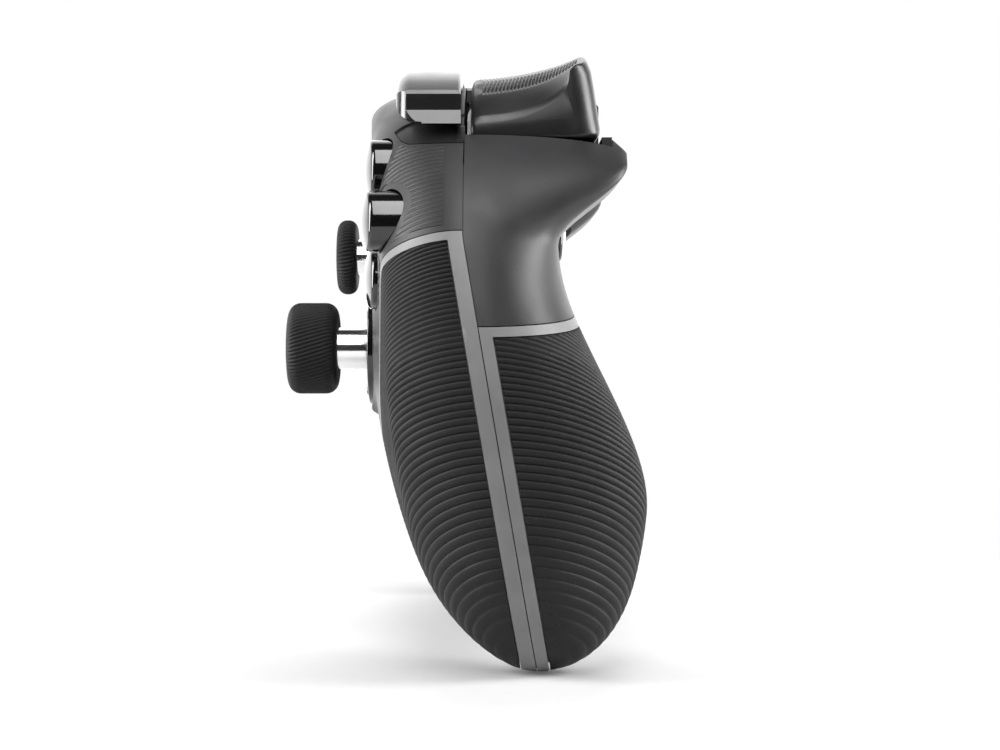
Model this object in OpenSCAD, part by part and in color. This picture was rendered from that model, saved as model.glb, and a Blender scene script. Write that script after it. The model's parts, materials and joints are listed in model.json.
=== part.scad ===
// Gamepad with ridged grips, a tall and a low stick and two analogue triggers.
// It lies on its back: +X to the player's right, +Y towards the triggers, +Z out of the face.

/* [Housing outline] */
// Width over both grips
body_w = 156; // [150:1:166]
// Top edge of the shells at the middle
top_y = 51.3; // [50:0.1:56]
// Where the grips are widest
side_y = -20.2; // [-24:0.1:-16]
// Lower edge between the grips
crotch_y = -15.5; // [-19:0.1:-14]
// Distance from the middle where the lower edge bends into a grip
crotch_x = 22; // [19:0.5:24]
// Grip tip, distance from the middle
tip_x = 58; // [56:0.5:60]
// Grip tip, lowest point
tip_y = -57.7; // [-63:0.1:-53]

/* [Housing depth] */
// Height of the face at the middle
face_z = 51.9; // [51:0.1:52.5]
// Height of the parting line beside the triggers
seam_z = 32.7; // [32.5:0.1:33.5]
// Fall of the parting line along the grips
seam_slope = 0.17; // [0.1:0.01:0.22]
// Level of the back across its neck
rear_z = 15.9; // [14:0.1:17]
// Depth of the lip behind the triggers
lip_drop = 12.4; // [11:0.1:14]
// Depth of the bulge at the back of a grip
bulge_drop = 16.1; // [12:0.1:18]
// Thickness of the casing wall
wall = 2.2; // [1.8:0.1:2.6]
// Gap between casing pieces
seam_gap = 0.2; // [0.1:0.05:0.4]

/* [Grips] */
// Thickness of the grip rubber
pad_t = 1.2; // [0.8:0.1:1.4]
// Smooth border along the parting line, front
front_band = 2.6; // [1.5:0.1:4]
// Smooth border along the parting line, rear
rear_band = 2.3; // [1.5:0.1:4]
// Smooth border along the upper end of a grip
top_band = 1.8; // [1:0.1:4]

/* [Sticks] */
// Right stick, distance from the middle
stick_right_x = 22; // [20:0.5:24]
// Right stick, position along the body
stick_right_y = -0.6; // [-2:0.1:2]
// Left stick, distance from the middle
stick_left_x = 48; // [46:0.5:49]
// Left stick, position along the body
stick_left_y = 20; // [18:0.1:23]
// Height of the gimbal centres
gimbal_z = 36.8; // [36:0.1:37.5]
// Tall cap diameter
tall_cap_d = 17.7; // [15:0.1:20]
// Tall cap height
tall_cap_h = 9.7; // [7:0.1:12]
// Tall cap underside
tall_cap_z = 57.7; // [56:0.1:62]
// Low cap diameter
low_cap_d = 17; // [15:0.1:20]
// Low cap height
low_cap_h = 4.5; // [3.5:0.1:8]
// Low cap underside
low_cap_z = 58.8; // [56:0.1:62]
// Stem diameter
stem_d = 8.2; // [6:0.1:8.6]
// Bore of the trim ring round a stick
ring_bore = 19; // [18.6:0.1:19.6]
// Dust dome radius
dome_r = 12.5; // [12.2:0.1:12.8]
// Tilt of a stick about each axis
stick_tilt = 13; // [8:0.5:13]
// Click travel of a stick
click = 0.5; // [0.3:0.1:0.8]

/* [Buttons] */
// Middle of the four face buttons, distance from the middle
face_x = 48; // [46:0.5:49]
// Middle of the four face buttons, position along the body
face_y = 22.1; // [20:0.1:23]
// Distance of a face button from the middle of the four
face_ring = 10; // [9.5:0.1:10.5]
// Face button diameter
face_d = 10.8; // [9:0.1:11]
// Height of the face button tops
face_top = 51; // [50:0.1:53]
// Travel of a face button
face_travel = 1.3; // [0.8:0.1:1.5]
// Direction pad, position along the body
pad_y = -1.6; // [-2:0.1:1]
// Length of the direction pad over two arms
cross_len = 19; // [18:0.2:20]
// Width of an arm
cross_w = 7.2; // [6:0.1:8]
// Height of the direction pad
cross_top = 54.9; // [54:0.1:56]
// Centre button diameter
menu_d = 6.4; // [5:0.1:7]
// Home button diameter
home_d = 10; // [8:0.1:11]
// Rear button diameter
rear_button_d = 10; // [8:0.1:10.4]

/* [Shoulders] */
// Outer end of a bumper, distance from the middle
bumper_end = 53; // [50:0.5:54]
// Thickness of a bumper at its outer end
bumper_t = 5.6; // [4:0.1:6]
// Thickness of the shoulder bar at the middle
bumper_thin = 4.2; // [3.6:0.1:4.6]
// Gap under a bumper
bumper_gap = 1; // [0.9:0.1:1.6]
// Inner side of a trigger, distance from the middle
trigger_in = 33.5; // [32:0.5:34]
// Outer side of a trigger, distance from the middle
trigger_out = 55.5; // [54:0.5:56]
// Fall of a trigger's finger face to its outer side
trigger_fall = 9.4; // [7:0.1:9.6]
// Trigger pin diameter
pin_d = 3; // [2.4:0.1:3.4]
// Coil diameter of a trigger spring, at the wire's middle
spring_d = 5.2; // [5:0.1:5.6]
// Spring wire diameter
wire_d = 0.9; // [0.7:0.05:1]

/* [Clearances] */
// Round a pin or shaft, on the radius
pin_gap = 0.05; // [0.02:0.01:0.08]
// Round a sliding button, on the radius
slide_gap = 0.35; // [0.3:0.05:0.5]
// Between parts that pass each other
run_gap = 0.4; // [0.3:0.05:0.5]

/* [Hidden] */
$fn = 48;
half_w = body_w / 2;
// Fineness of a casing half: stations each side of the middle, and steps across the front and the back
half_n = 18;
front_n = 14;
rear_n = 22;
// Fineness of a grip: stations across it, and steps along its front and its back
grip_n = 12;
grip_front_n = 9;
grip_rear_n = 10;
grip_from_x = 26;
front_grip_end_y = 26;
rear_grip_end_y = 12;
// Length of the small flat at each side, where a casing half ends
side_flat = 0.02;
// Roundness of the upper outline
top_power = 2.6;
// Where the parting line bends into the grips, and the casing's bends along the body
seam_bend_y = 18.8;
droop_y = -0.2;
droop = 0.0047;
face_bow = 0.0013;
lip_start_y = 17.8;
lip_end_y = 32.3;
neck_y = 19.3;
bulge_y = -30.2;
// Distances from the middle between which the lip and the bulge come in
lip_x = [24, 36];
bulge_x = [26, 50];
// Edge radii at the grip tips, along the body and beside the triggers
front_radii = [16, 13, 6];
rear_radii = [23, 20, 3];
// The crisp lower edge between the grips: its radius, where it fades out and where the face starts to droop
crisp_r = 3;
crisp_x = [22, 42];
crisp_y = [-9, 6];

// Heights of the inner pieces
board_z = gimbal_z - 6.5;
board_t = 1.6;
board_low = board_z - board_t;
board_top_y = 36.6;

// Stick pieces
module_w = 15.2;
module_wall = 1.2;
yoke_wall = 1.1;
yoke_r = module_w / 2 - module_wall - run_gap;
yoke_in = yoke_r - yoke_wall;
yoke_h = 3.4;
yoke_pin_r = 1;
hub_r = yoke_in - 0.9;
hub_pin_r = 0.8;
shaft_r = 1.8;
dome_t = 0.9;
dome_reach = asin(ring_bore / 2 / dome_r) + stick_tilt + 6;
ring_wall = 1.4;
ring_proud = 0.25;
ring_low = gimbal_z + sqrt(pow(dome_r + run_gap, 2) - pow(ring_bore / 2, 2));

// Direction pad pieces
cross_pivot_z = 42;
cross_low = 47.5;
cross_gap = 0.9;
rocker_r = 1.2;
rocker_block = 4.6;
post_x = 3.6;
post_t = 1.6;
lug_t = 1.4;

// Buttons
face_low = 36;
face_lean = 3;
menu_x = 14;
menu_y = 27;
home_y = 36;
menu_low = 33.5;
menu_proud = 1.1;
home_proud = 0.9;
rear_button_x = 30;
rear_button_y = 21;
rear_button_proud = 1.5;

// Shoulders
bridge_x = 11;
bumper_start = 11.5;
bumper_pin_x = 15;
bumper_pin_r = 0.8;
bumper_swell_x = 32;
bumper_low = 32.4;
bumper_high = 45;
tongue_low = 36.5;
tongue_high = 40;
tongue_w = 3.2;
tab_x = 6.5;
tab_w = 4;
tab_h = 2.4;
tab_z = 37;
trigger_pin_y = 41.2;
trigger_pin_z = 29.2;
trigger_wall = 1.8;
bracket_t = 1.8;
bracket_in = trigger_in + trigger_wall + 3.4;
bracket_out = trigger_out - trigger_wall - 3.4;
bracket_foot_y = board_top_y + run_gap;
bracket_foot_t = trigger_pin_y - spring_d / 2 - wire_d / 2 - run_gap / 2 - bracket_foot_y;
rim_y = 38;
bay_y = 30;
lip_edge_y = 34.9;
lip_edge_z = 3.2;

// Smooth change from 0 at a to 1 at b
function ease(a, b, v) = let (t = max(0, min(1, (v - a) / (b - a)))) t * t * (3 - 2 * t);

// Upper and lower outline at a distance x from the middle, drawn in by i
function edge_high(x, i) =
    let (u = min(1, abs(x) / (half_w - i)))
    side_y + (top_y - i - side_y) * pow(max(0, 1 - pow(u, top_power)), 1 / top_power);
function crotch_edge(x) = crotch_y + (tip_y - crotch_y) * ease(crotch_x, tip_x, x);
function crotch_slope(x) =
    let (t = max(0, min(1, (x - crotch_x) / (tip_x - crotch_x))))
    (tip_y - crotch_y) / (tip_x - crotch_x) * 6 * t * (1 - t);
function edge_low(x, i) =
    x < tip_x ? crotch_edge(x) + i * norm([1, crotch_slope(x)])
    : let (u = min(1, (x - tip_x) / (half_w - i - tip_x)))
      side_y + (tip_y + i - side_y) * sqrt(max(0, 1 - u * u));

// Length of outline for each step in x, which turns a height above the edge into a distance from it
function high_stretch(x, i) = let (d = 0.01) norm([1, (edge_high(x + d, i) - edge_high(x - d, i)) / 2 / d]);
function low_stretch(x, i) = let (d = 0.01) norm([1, (edge_low(x + d, i) - edge_low(x - d, i)) / 2 / d]);

// Casing heights before the edges are rounded
function parting(y) = seam_z - seam_slope * max(0, seam_bend_y - y);
function face_level(x, y) =
    face_z - face_bow * x * x
    - droop * pow(max(0, droop_y - y), 2) * ease(crisp_x[0] - 4, crisp_x[1], x);
function rear_level(x, y) =
    rear_z - lip_drop * ease(lip_start_y, lip_end_y, y) * ease(lip_x[0], lip_x[1], x)
    - bulge_drop * (1 - ease(bulge_y, neck_y, y)) * ease(bulge_x[0], bulge_x[1], x);

// Edge radii along the body, and the rounding that they give
function along(r, low, high) = r[0] + (r[1] - r[0]) * low + (r[2] - r[1]) * high;
function front_round(x, y) =
    let (r = along(front_radii, ease(-30, -10, y), ease(20, 45, y)),
         crisp = (1 - ease(crisp_x[0], crisp_x[1], x)) * (1 - ease(crisp_y[0], crisp_y[1], y)))
    r + (crisp_r - r) * crisp;
function rear_round(y) = along(rear_radii, ease(-40, -20, y), ease(5, lip_end_y, y));
function rounding(t) = sqrt(max(0, 1 - pow(1 - min(1, max(0, t)), 2)));

function front_height(x, y, e, i) =
    parting(y) + (face_level(x, y) - i - parting(y)) * rounding(e / (front_round(x, y) - i));
function rear_height(x, y, e, i) =
    let (p = parting(y) - seam_gap)
    p - (p - rear_level(x, y) - i) * rounding(e / (rear_round(y) - i));

// One section of a casing half at x, from its lower edge to its upper edge or to end_y
function section(x, i, is_front, n, end_y) =
    let (ax = abs(x),
         hi = edge_high(ax, i),
         lo = edge_low(ax, i),
         sh = high_stretch(ax, i),
         sl = low_stretch(ax, i))
    [for (j = [0 : n])
        let (y = lo + (min(hi, end_y) - lo) * (1 - cos(180 * j / n)) / 2,
             eh = (hi - y) / sh,
             el = (y - lo) / sl,
             inner = ax < half_w - i - 2 * side_flat,
             e = inner && eh > 0 && el > 0 ? eh * el / (eh + el) : 0)
        [x, y, is_front ? front_height(ax, y, e, i) : rear_height(ax, y, e, i)]];

// A four-sided face as two triangles, cut across one way or the other
function split(q, other) =
    other ? [[q[0], q[1], q[3]], [q[1], q[2], q[3]]] : [[q[0], q[1], q[2]], [q[0], q[2], q[3]]];
function turned(faces, flip) = flip ? [for (f = faces) [f[2], f[1], f[0]]] : faces;

// A layer of a casing half between two insets, through stations given as shares of the half width
module layer(is_front, i_out, i_in, shares, n, end_y) {
    m = len(shares) - 1;
    rows = [for (i = [i_out, i_in], s = shares)
        section((half_w - side_flat - i) * s, i, is_front, n, end_y)];
    points = [for (r = rows, p = r) p];
    w = n + 1;
    back = (m + 1) * w;
    outer = [for (k = [0 : m - 1], j = [0 : n - 1])
        each split([k * w + j, k * w + j + 1, (k + 1) * w + j + 1, (k + 1) * w + j], shares[k] < 0)];
    inner = [for (f = turned(outer, true)) [f[0] + back, f[1] + back, f[2] + back]];
    rim = [for (k = [0 : m - 1]) each concat(
        split([k * w, (k + 1) * w, (k + 1) * w + back, k * w + back], false),
        split([(k + 1) * w + n, k * w + n, k * w + n + back, (k + 1) * w + n + back], false))];
    ends = [for (j = [0 : n - 1]) each concat(
        split([j + 1, j, j + back, j + 1 + back], false),
        split([m * w + j, m * w + j + 1, m * w + j + 1 + back, m * w + j + back], false))];
    polyhedron(points = points, faces = turned(concat(outer, inner, rim, ends), !is_front));
}

whole_shares = [for (k = [-half_n : half_n]) sin(90 * k / half_n)];
grip_shares = let (a = asin(grip_from_x / half_w)) [for (k = [0 : grip_n]) sin(a + (90 - a) * k / grip_n)];

module half_layer(is_front, i_out, i_in) {
    layer(is_front, i_out, i_in, whole_shares, is_front ? front_n : rear_n, top_y);
}

module grip_layer(is_front, i_out, i_in) {
    layer(is_front, i_out, i_in, grip_shares, is_front ? grip_front_n : grip_rear_n,
          is_front ? front_grip_end_y : rear_grip_end_y);
}

// Plan of a grip's casing, seen from the face, with soft corners and drawn in by d
module soft(d) {
    r = 7;
    offset(r = r - d, $fn = 32)
        offset(r = -2 * r, $fn = 32)
            offset(r = r, $fn = 32) children();
}

module front_grip_plan(d) {
    soft(d)
        polygon([[110, 37.5], [57.5, 14], [56, -3], [46, -16], [36, -24], [31, -40], [31, -90], [110, -90]]);
}

module rear_grip_plan(d) {
    soft(d)
        polygon([[110, -0.7], [56, 5.8], [44, 0], [36, -14], [33, -26], [33, -90], [110, -90]]);
}

module plan_prism() {
    linear_extrude(2 * body_w, center = true) children();
}

// Everything on the face's side of the parting line raised by h, or on the back's side of it lowered by h
module face_side(h) {
    reach = 120;
    rotate([90, 0, 90])
        linear_extrude(reach)
            polygon([[-reach, parting(-reach) + h], [seam_bend_y, seam_z + h], [reach, seam_z + h],
                     [reach, reach], [-reach, reach]]);
}

module back_side(h) {
    reach = 120;
    rotate([90, 0, 90])
        linear_extrude(reach)
            polygon([[-reach, parting(-reach) - h], [seam_bend_y, seam_z - h], [reach, seam_z - h],
                     [reach, -reach], [-reach, -reach]]);
}

module both_sides() {
    children();
    mirror([1, 0, 0]) children();
}

module left_side() {
    mirror([1, 0, 0]) children();
}

module through(d) {
    cylinder(d = d, h = 2 * body_w, center = true);
}

module along_x(x, y, z, r, h) {
    translate([x, y, z]) rotate([0, 90, 0]) cylinder(r = r, h = h);
}

// Places of the sticks and buttons
module at_right_stick() {
    translate([stick_right_x, stick_right_y, 0]) children();
}

module at_left_stick() {
    translate([-stick_left_x, stick_left_y, 0]) children();
}

module at_direction_pad() {
    translate([-stick_right_x, pad_y, 0]) children();
}

module at_face(k) {
    translate([face_x + face_ring * sin(90 * k), face_y + face_ring * cos(90 * k), 0]) children();
}

// Screws through bosses in the back into posts behind the face
screw_places = [[35, -8], [14, 41], [-35, -8], [-14, 41]];
screw_r = 1.3;
screw_head_r = 2.4;
screw_head_h = 1.2;
screw_len = 12;
screw_seat = 2.1;
boss_r = 3.6;
boss_h = 2.6;
post_r = 2;
function rear_at(x, y) =
    let (eh = (edge_high(x, 0) - y) / high_stretch(x, 0), el = (y - edge_low(x, 0)) / low_stretch(x, 0))
    rear_height(x, y, eh * el / (eh + el), 0);
function face_at(x, y) =
    let (eh = (edge_high(x, 0) - y) / high_stretch(x, 0), el = (y - edge_low(x, 0)) / low_stretch(x, 0))
    front_height(x, y, eh * el / (eh + el), 0);

module at_screw(p, h) {
    translate([p[0], p[1], rear_at(abs(p[0]), p[1]) + h]) children();
}

module screw_post(p) {
    low = screw_seat + boss_h + seam_gap;
    high = face_at(abs(p[0]), p[1]) - wall / 2 - rear_at(abs(p[0]), p[1]);
    at_screw(p, low)
        difference() {
            cylinder(r = post_r, h = high - low);
            translate([0, 0, -1]) cylinder(r = screw_r + pin_gap, h = screw_len);
        }
}

module front_shell() {
    color("dimgray") {
        difference() {
            half_layer(true, 0, wall);
            both_sides() plan_prism() front_grip_plan(0);
            at_right_stick() ring_hole();
            at_left_stick() ring_hole();
            for (k = [0 : 3]) at_face(k) through(face_d + 2 * slide_gap);
            at_direction_pad() cross_prism(cross_gap, board_z, cross_top + wall);
            for (x = [-menu_x, menu_x]) translate([x, menu_y, 0]) through(menu_d + 2 * slide_gap);
            translate([0, home_y, 0]) through(home_d + 2 * slide_gap);
            translate([0, crotch_y - 10, jack_z])
                rotate([-90, 0, 0]) cylinder(d = jack_barrel_d + 2 * run_gap, h = 20);
            bridge_tabs(seam_gap);
        }
        for (p = screw_places) screw_post(p);
    }
}

module ring_hole() {
    through(ring_bore + 2 * ring_wall + seam_gap);
}

// Room behind a trigger, and the rim that it sinks past
module trigger_bay() {
    bay_w = trigger_out - trigger_in + 2 * run_gap;
    chamfer = 6;
    reach = 20;
    translate([trigger_in - run_gap, bay_y, rear_z - lip_drop + wall + 0.3]) cube([bay_w, 40, 40]);
    translate([trigger_in - 2, rim_y, -20]) cube([bay_w + 5, 40, 80]);
    translate([trigger_in - 2, lip_edge_y, lip_edge_z])
        rotate([90, 0, 90])
            linear_extrude(bay_w + 15)
                polygon([[-chamfer, -chamfer], [chamfer, chamfer], [reach, chamfer], [reach, -chamfer]]);
}

module rear_shell() {
    color("dimgray")
        difference() {
            union() {
                half_layer(false, 0, wall);
                for (p = screw_places) at_screw(p, screw_seat) cylinder(r = boss_r, h = boss_h);
            }
            both_sides() {
                plan_prism() rear_grip_plan(0);
                trigger_bay();
                translate([rear_button_x, rear_button_y, -10])
                    cylinder(d = rear_button_d + 2 * slide_gap, h = 40);
            }
            for (p = screw_places) {
                at_screw(p, -4) cylinder(r = screw_head_r + run_gap, h = screw_seat + 4);
                at_screw(p, 0) cylinder(r = screw_r + slide_gap, h = screw_len);
            }
            port_prism(0.4, top_y - 12, 20);
        }
}

// One grip: a shell piece with a bed for its rubber
module front_grip() {
    difference() {
        intersection() {
            grip_layer(true, 0, wall);
            plan_prism() front_grip_plan(seam_gap);
        }
        intersection() {
            grip_layer(true, -2, pad_t + seam_gap);
            plan_prism() front_grip_plan(top_band);
            face_side(front_band);
        }
    }
}

module front_rubber() {
    intersection() {
        grip_layer(true, 0, pad_t);
        plan_prism() front_grip_plan(top_band + seam_gap);
        face_side(front_band + seam_gap);
    }
}

module rear_grip() {
    difference() {
        union() {
            intersection() {
                grip_layer(false, 0, wall);
                plan_prism() rear_grip_plan(seam_gap);
            }
            motor_rib();
        }
        intersection() {
            grip_layer(false, -2, pad_t + seam_gap);
            plan_prism() rear_grip_plan(top_band);
            back_side(rear_band);
        }
    }
}

module rear_rubber() {
    intersection() {
        grip_layer(false, 0, pad_t);
        plan_prism() rear_grip_plan(top_band + seam_gap);
        back_side(rear_band + seam_gap);
    }
}

module front_grip_right() {
    color("gray") front_grip();
}

module front_grip_left() {
    color("gray") left_side() front_grip();
}

module rear_grip_right() {
    color("gray") rear_grip();
}

module rear_grip_left() {
    color("gray") left_side() rear_grip();
}

module front_rubber_right() {
    color([0.13, 0.13, 0.13]) front_rubber();
}

module front_rubber_left() {
    color([0.13, 0.13, 0.13]) left_side() front_rubber();
}

module rear_rubber_right() {
    color([0.13, 0.13, 0.13]) rear_rubber();
}

module rear_rubber_left() {
    color([0.13, 0.13, 0.13]) left_side() rear_rubber();
}

// Stick pieces, each at its own place
module stick_ring(x, y) {
    high = face_at(x, y) + ring_proud;
    translate([0, 0, ring_low])
        difference() {
            cylinder(d = ring_bore + 2 * ring_wall, h = high - ring_low);
            translate([0, 0, -1]) cylinder(d = ring_bore, h = high);
        }
}

module stick_ring_right() {
    color("black") at_right_stick() stick_ring(stick_right_x, stick_right_y);
}

module stick_ring_left() {
    color("black") at_left_stick() stick_ring(stick_left_x, stick_left_y);
}

// Half the section of a cap: a box with rounded corners
module cap_section(d, h, rim) {
    square([d / 2 - rim, h]);
    translate([0, rim]) square([d / 2, h - 2 * rim]);
    translate([d / 2 - rim, rim]) circle(r = rim);
    translate([d / 2 - rim, h - rim]) circle(r = rim);
}

// A cap with a rounded rim, a dished top and a socket for the stem
module stick_head(d, h, z, dish) {
    rim = min(h / 2.2, 2.4);
    dish_r = d / 2 - rim;
    sphere_r = (dish_r * dish_r + dish * dish) / 2 / dish;
    difference() {
        translate([0, 0, z]) rotate_extrude() cap_section(d, h, rim);
        translate([0, 0, z + h - dish + sphere_r]) sphere(r = sphere_r);
        translate([0, 0, z - 1]) cylinder(d = stem_d + 2 * pin_gap, h = 1 + h / 2);
    }
}

module stick_cap_right() {
    color([0.1, 0.1, 0.1]) at_right_stick() stick_head(tall_cap_d, tall_cap_h, tall_cap_z, 0.9);
}

module stick_cap_left() {
    color([0.1, 0.1, 0.1]) at_left_stick() stick_head(low_cap_d, low_cap_h, low_cap_z, 0.9);
}

// A wide stem over the dome and a thin shaft down through the hub
module stick_stem(cap_z, cap_h) {
    low = gimbal_z + dome_r + click + 0.1;
    translate([0, 0, low]) cylinder(d = stem_d, h = cap_z + cap_h / 2 - low);
    translate([0, 0, gimbal_z - 3]) cylinder(r = shaft_r, h = low - gimbal_z + 4);
}

module stick_stem_right() {
    color("silver") at_right_stick() stick_stem(tall_cap_z, tall_cap_h);
}

module stick_stem_left() {
    color("silver") at_left_stick() stick_stem(low_cap_z, low_cap_h);
}

// A dust dome on its hub, with the two cross pins that turn in the yoke
module stick_dome() {
    rim_z = dome_r * cos(dome_reach);
    difference() {
        translate([0, 0, gimbal_z])
            union() {
                intersection() {
                    difference() {
                        sphere(r = dome_r);
                        sphere(r = dome_r - dome_t);
                    }
                    translate([0, 0, rim_z]) cylinder(r = 2 * dome_r, h = 2 * dome_r);
                }
                translate([0, 0, -2.6]) cylinder(r = hub_r, h = dome_r - dome_t / 2 + 1.8);
                rotate([90, 0, 0]) translate([0, 0, -yoke_r]) cylinder(r = hub_pin_r, h = 2 * yoke_r);
            }
        translate([0, 0, gimbal_z - 10]) cylinder(r = shaft_r + pin_gap, h = 40);
    }
}

module stick_dome_right() {
    color([0.15, 0.15, 0.15]) at_right_stick() stick_dome();
}

module stick_dome_left() {
    color([0.15, 0.15, 0.15]) at_left_stick() stick_dome();
}

// A ring that turns on two trunnions
module stick_yoke() {
    translate([0, 0, gimbal_z])
        difference() {
            union() {
                translate([0, 0, -yoke_h / 2]) cylinder(r = yoke_r, h = yoke_h);
                rotate([0, 90, 0]) translate([0, 0, -module_w / 2]) cylinder(r = yoke_pin_r, h = module_w);
            }
            translate([0, 0, -yoke_h]) cylinder(r = yoke_in, h = 2 * yoke_h);
            rotate([90, 0, 0]) translate([0, 0, -20]) cylinder(r = hub_pin_r + pin_gap, h = 40);
        }
}

module stick_yoke_right() {
    color("silver") at_right_stick() stick_yoke();
}

module stick_yoke_left() {
    color("silver") at_left_stick() stick_yoke();
}

// An open case on the board that carries the trunnions
module stick_module() {
    high = gimbal_z + 1.6;
    bore = module_w - 2 * module_wall;
    difference() {
        translate([-module_w / 2, -module_w / 2, board_z]) cube([module_w, module_w, high - board_z]);
        translate([-bore / 2, -bore / 2, board_z + 1]) cube([bore, bore, high]);
        translate([-20, 0, gimbal_z]) rotate([0, 90, 0]) cylinder(r = yoke_pin_r + pin_gap, h = 40);
    }
}

module stick_module_right() {
    color("darkgreen") at_right_stick() stick_module();
}

module stick_module_left() {
    color("darkgreen") at_left_stick() stick_module();
}

// A round button whose domed top leans outward by an angle
module round_button(d, low, high, lean = 0) {
    crown = 2.2 * d;
    intersection() {
        translate([0, 0, low]) cylinder(d = d, h = high - low + 1);
        translate([-crown * sin(lean), 0, high - crown * cos(lean)]) sphere(r = crown, $fn = 96);
    }
}

// A face button with a key lug that points to the middle of the four
module face_button(k) {
    x = face_x + face_ring * sin(90 * k);
    at_face(k) {
        round_button(face_d, face_low, face_top, atan(2 * face_bow * x) + face_lean);
        rotate([0, 0, -90 * k])
            translate([-2, -face_d / 2 - 1, face_low]) cube([4, 3, 1.4]);
    }
}

module face_button_top() {
    color("black") face_button(0);
}

module face_button_right() {
    color("black") face_button(1);
}

module face_button_bottom() {
    color("black") face_button(2);
}

module face_button_left() {
    color("black") face_button(3);
}

// A rubber mat on the board with one dome under each face button
module face_button_mat() {
    dome_top = face_low - face_travel - 0.3;
    color("gainsboro") {
        translate([face_x, face_y, board_z]) cylinder(r = face_ring + 3, h = 1);
        for (k = [0 : 3])
            at_face(k) translate([0, 0, board_z]) cylinder(r1 = 4, r2 = 2.8, h = dome_top - board_z);
    }
}

// The cross of the direction pad, larger by g all round
module cross_prism(g, low, high) {
    len = cross_len + 2 * g;
    w = cross_w + 2 * g;
    for (a = [0, 90])
        rotate([0, 0, a]) translate([-len / 2, -w / 2, low]) cube([len, w, high - low]);
}

module direction_pad() {
    lug_y = rocker_block / 2 + 0.3;
    dish_r = 20;
    dish = 1.6;
    color("black")
        at_direction_pad() {
            difference() {
                cross_prism(0, cross_low, cross_top);
                translate([0, 0, cross_top + dish_r - dish]) sphere(r = dish_r);
            }
            for (s = [-1, 1])
                translate([-1.8, s * (lug_y + lug_t / 2) - lug_t / 2, cross_pivot_z - 1.6])
                    cube([3.6, lug_t, cross_low - cross_pivot_z + 1.7]);
            translate([0, 0, cross_pivot_z])
                rotate([90, 0, 0])
                    translate([0, 0, -lug_y - lug_t / 2]) cylinder(r = hub_pin_r, h = 2 * lug_y + lug_t);
        }
}

// A block on a cross pin, which lets the pad rock both ways
module direction_rocker() {
    reach = post_x + post_t - 0.1;
    color("silver")
        at_direction_pad()
            translate([0, 0, cross_pivot_z])
                difference() {
                    union() {
                        cube(rocker_block, center = true);
                        rotate([0, 90, 0]) translate([0, 0, -reach]) cylinder(r = rocker_r, h = 2 * reach);
                    }
                    rotate([90, 0, 0]) translate([0, 0, -20]) cylinder(r = hub_pin_r + pin_gap, h = 40);
                }
}

module direction_base() {
    color("dimgray")
        at_direction_pad()
            difference() {
                union() {
                    translate([0, 0, board_z]) cylinder(r = 9, h = 1.5);
                    for (s = [-1, 1])
                        translate([s * (post_x + post_t / 2) - post_t / 2, -2.4, board_z])
                            cube([post_t, 4.8, cross_pivot_z - board_z + 2.2]);
                }
                along_x(-20, 0, cross_pivot_z, rocker_r + pin_gap, 40);
            }
}

module centre_button(x) {
    translate([x, menu_y, 0]) round_button(menu_d, menu_low, face_at(menu_x, menu_y) + menu_proud);
}

module view_button() {
    color("black") centre_button(-menu_x);
}

module menu_button() {
    color("black") centre_button(menu_x);
}

module home_button() {
    color("black") translate([0, home_y, 0]) round_button(home_d, menu_low, face_at(0, home_y) + home_proud);
}

// A domed rear button with a plunger up to its switch
module rear_button() {
    top = rear_at(rear_button_x, rear_button_y) - rear_button_proud;
    crown = rear_button_d;
    translate([rear_button_x, rear_button_y, 0]) {
        intersection() {
            translate([0, 0, top - 1]) cylinder(d = rear_button_d, h = 8);
            translate([0, 0, top + crown]) sphere(r = crown);
        }
        translate([0, 0, top + 6]) cylinder(r = 1.6, h = board_low - 2.9 - top - 6);
    }
}

module rear_button_right() {
    color("black") rear_button();
}

module rear_button_left() {
    color("black") left_side() rear_button();
}

// Small switches under the centre buttons, and on the underside for the rear buttons
module tact_switches() {
    w = 4.4;
    h = menu_low - board_z - 0.8;
    color("silver") {
        for (p = [[-menu_x, menu_y], [menu_x, menu_y], [0, home_y]])
            translate([p[0] - w / 2, p[1] - w / 2, board_z]) cube([w, w, h]);
        for (s = [-1, 1])
            translate([s * rear_button_x - w / 2, rear_button_y - w / 2, board_low - 1.7]) cube([w, w, 1.7]);
    }
}

// Section of a bumper: distance out from the top edge, and height
function bumper_thick(x) =
    bumper_thin + (bumper_t - bumper_thin) * ease(bumper_swell_x, bumper_end - 3, abs(x));
function bumper_section(s, t) =
    let (a = bumper_gap, b = bumper_gap + t, c = (bumper_low + bumper_high) / 2)
    [for (p = [[a, bumper_low + 0.6], [a, bumper_high - 0.6], [a + 0.8, bumper_high],
               [b - 0.5 * t, bumper_high - 0.8], [b - 0.1 * t, bumper_high - 3.6], [b, bumper_high - 6],
               [b, bumper_low + 1.2], [b - 1.2, bumper_low]])
        [a + t / 2 + (p[0] - a - t / 2) * s, c + (p[1] - c) * s]];

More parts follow.
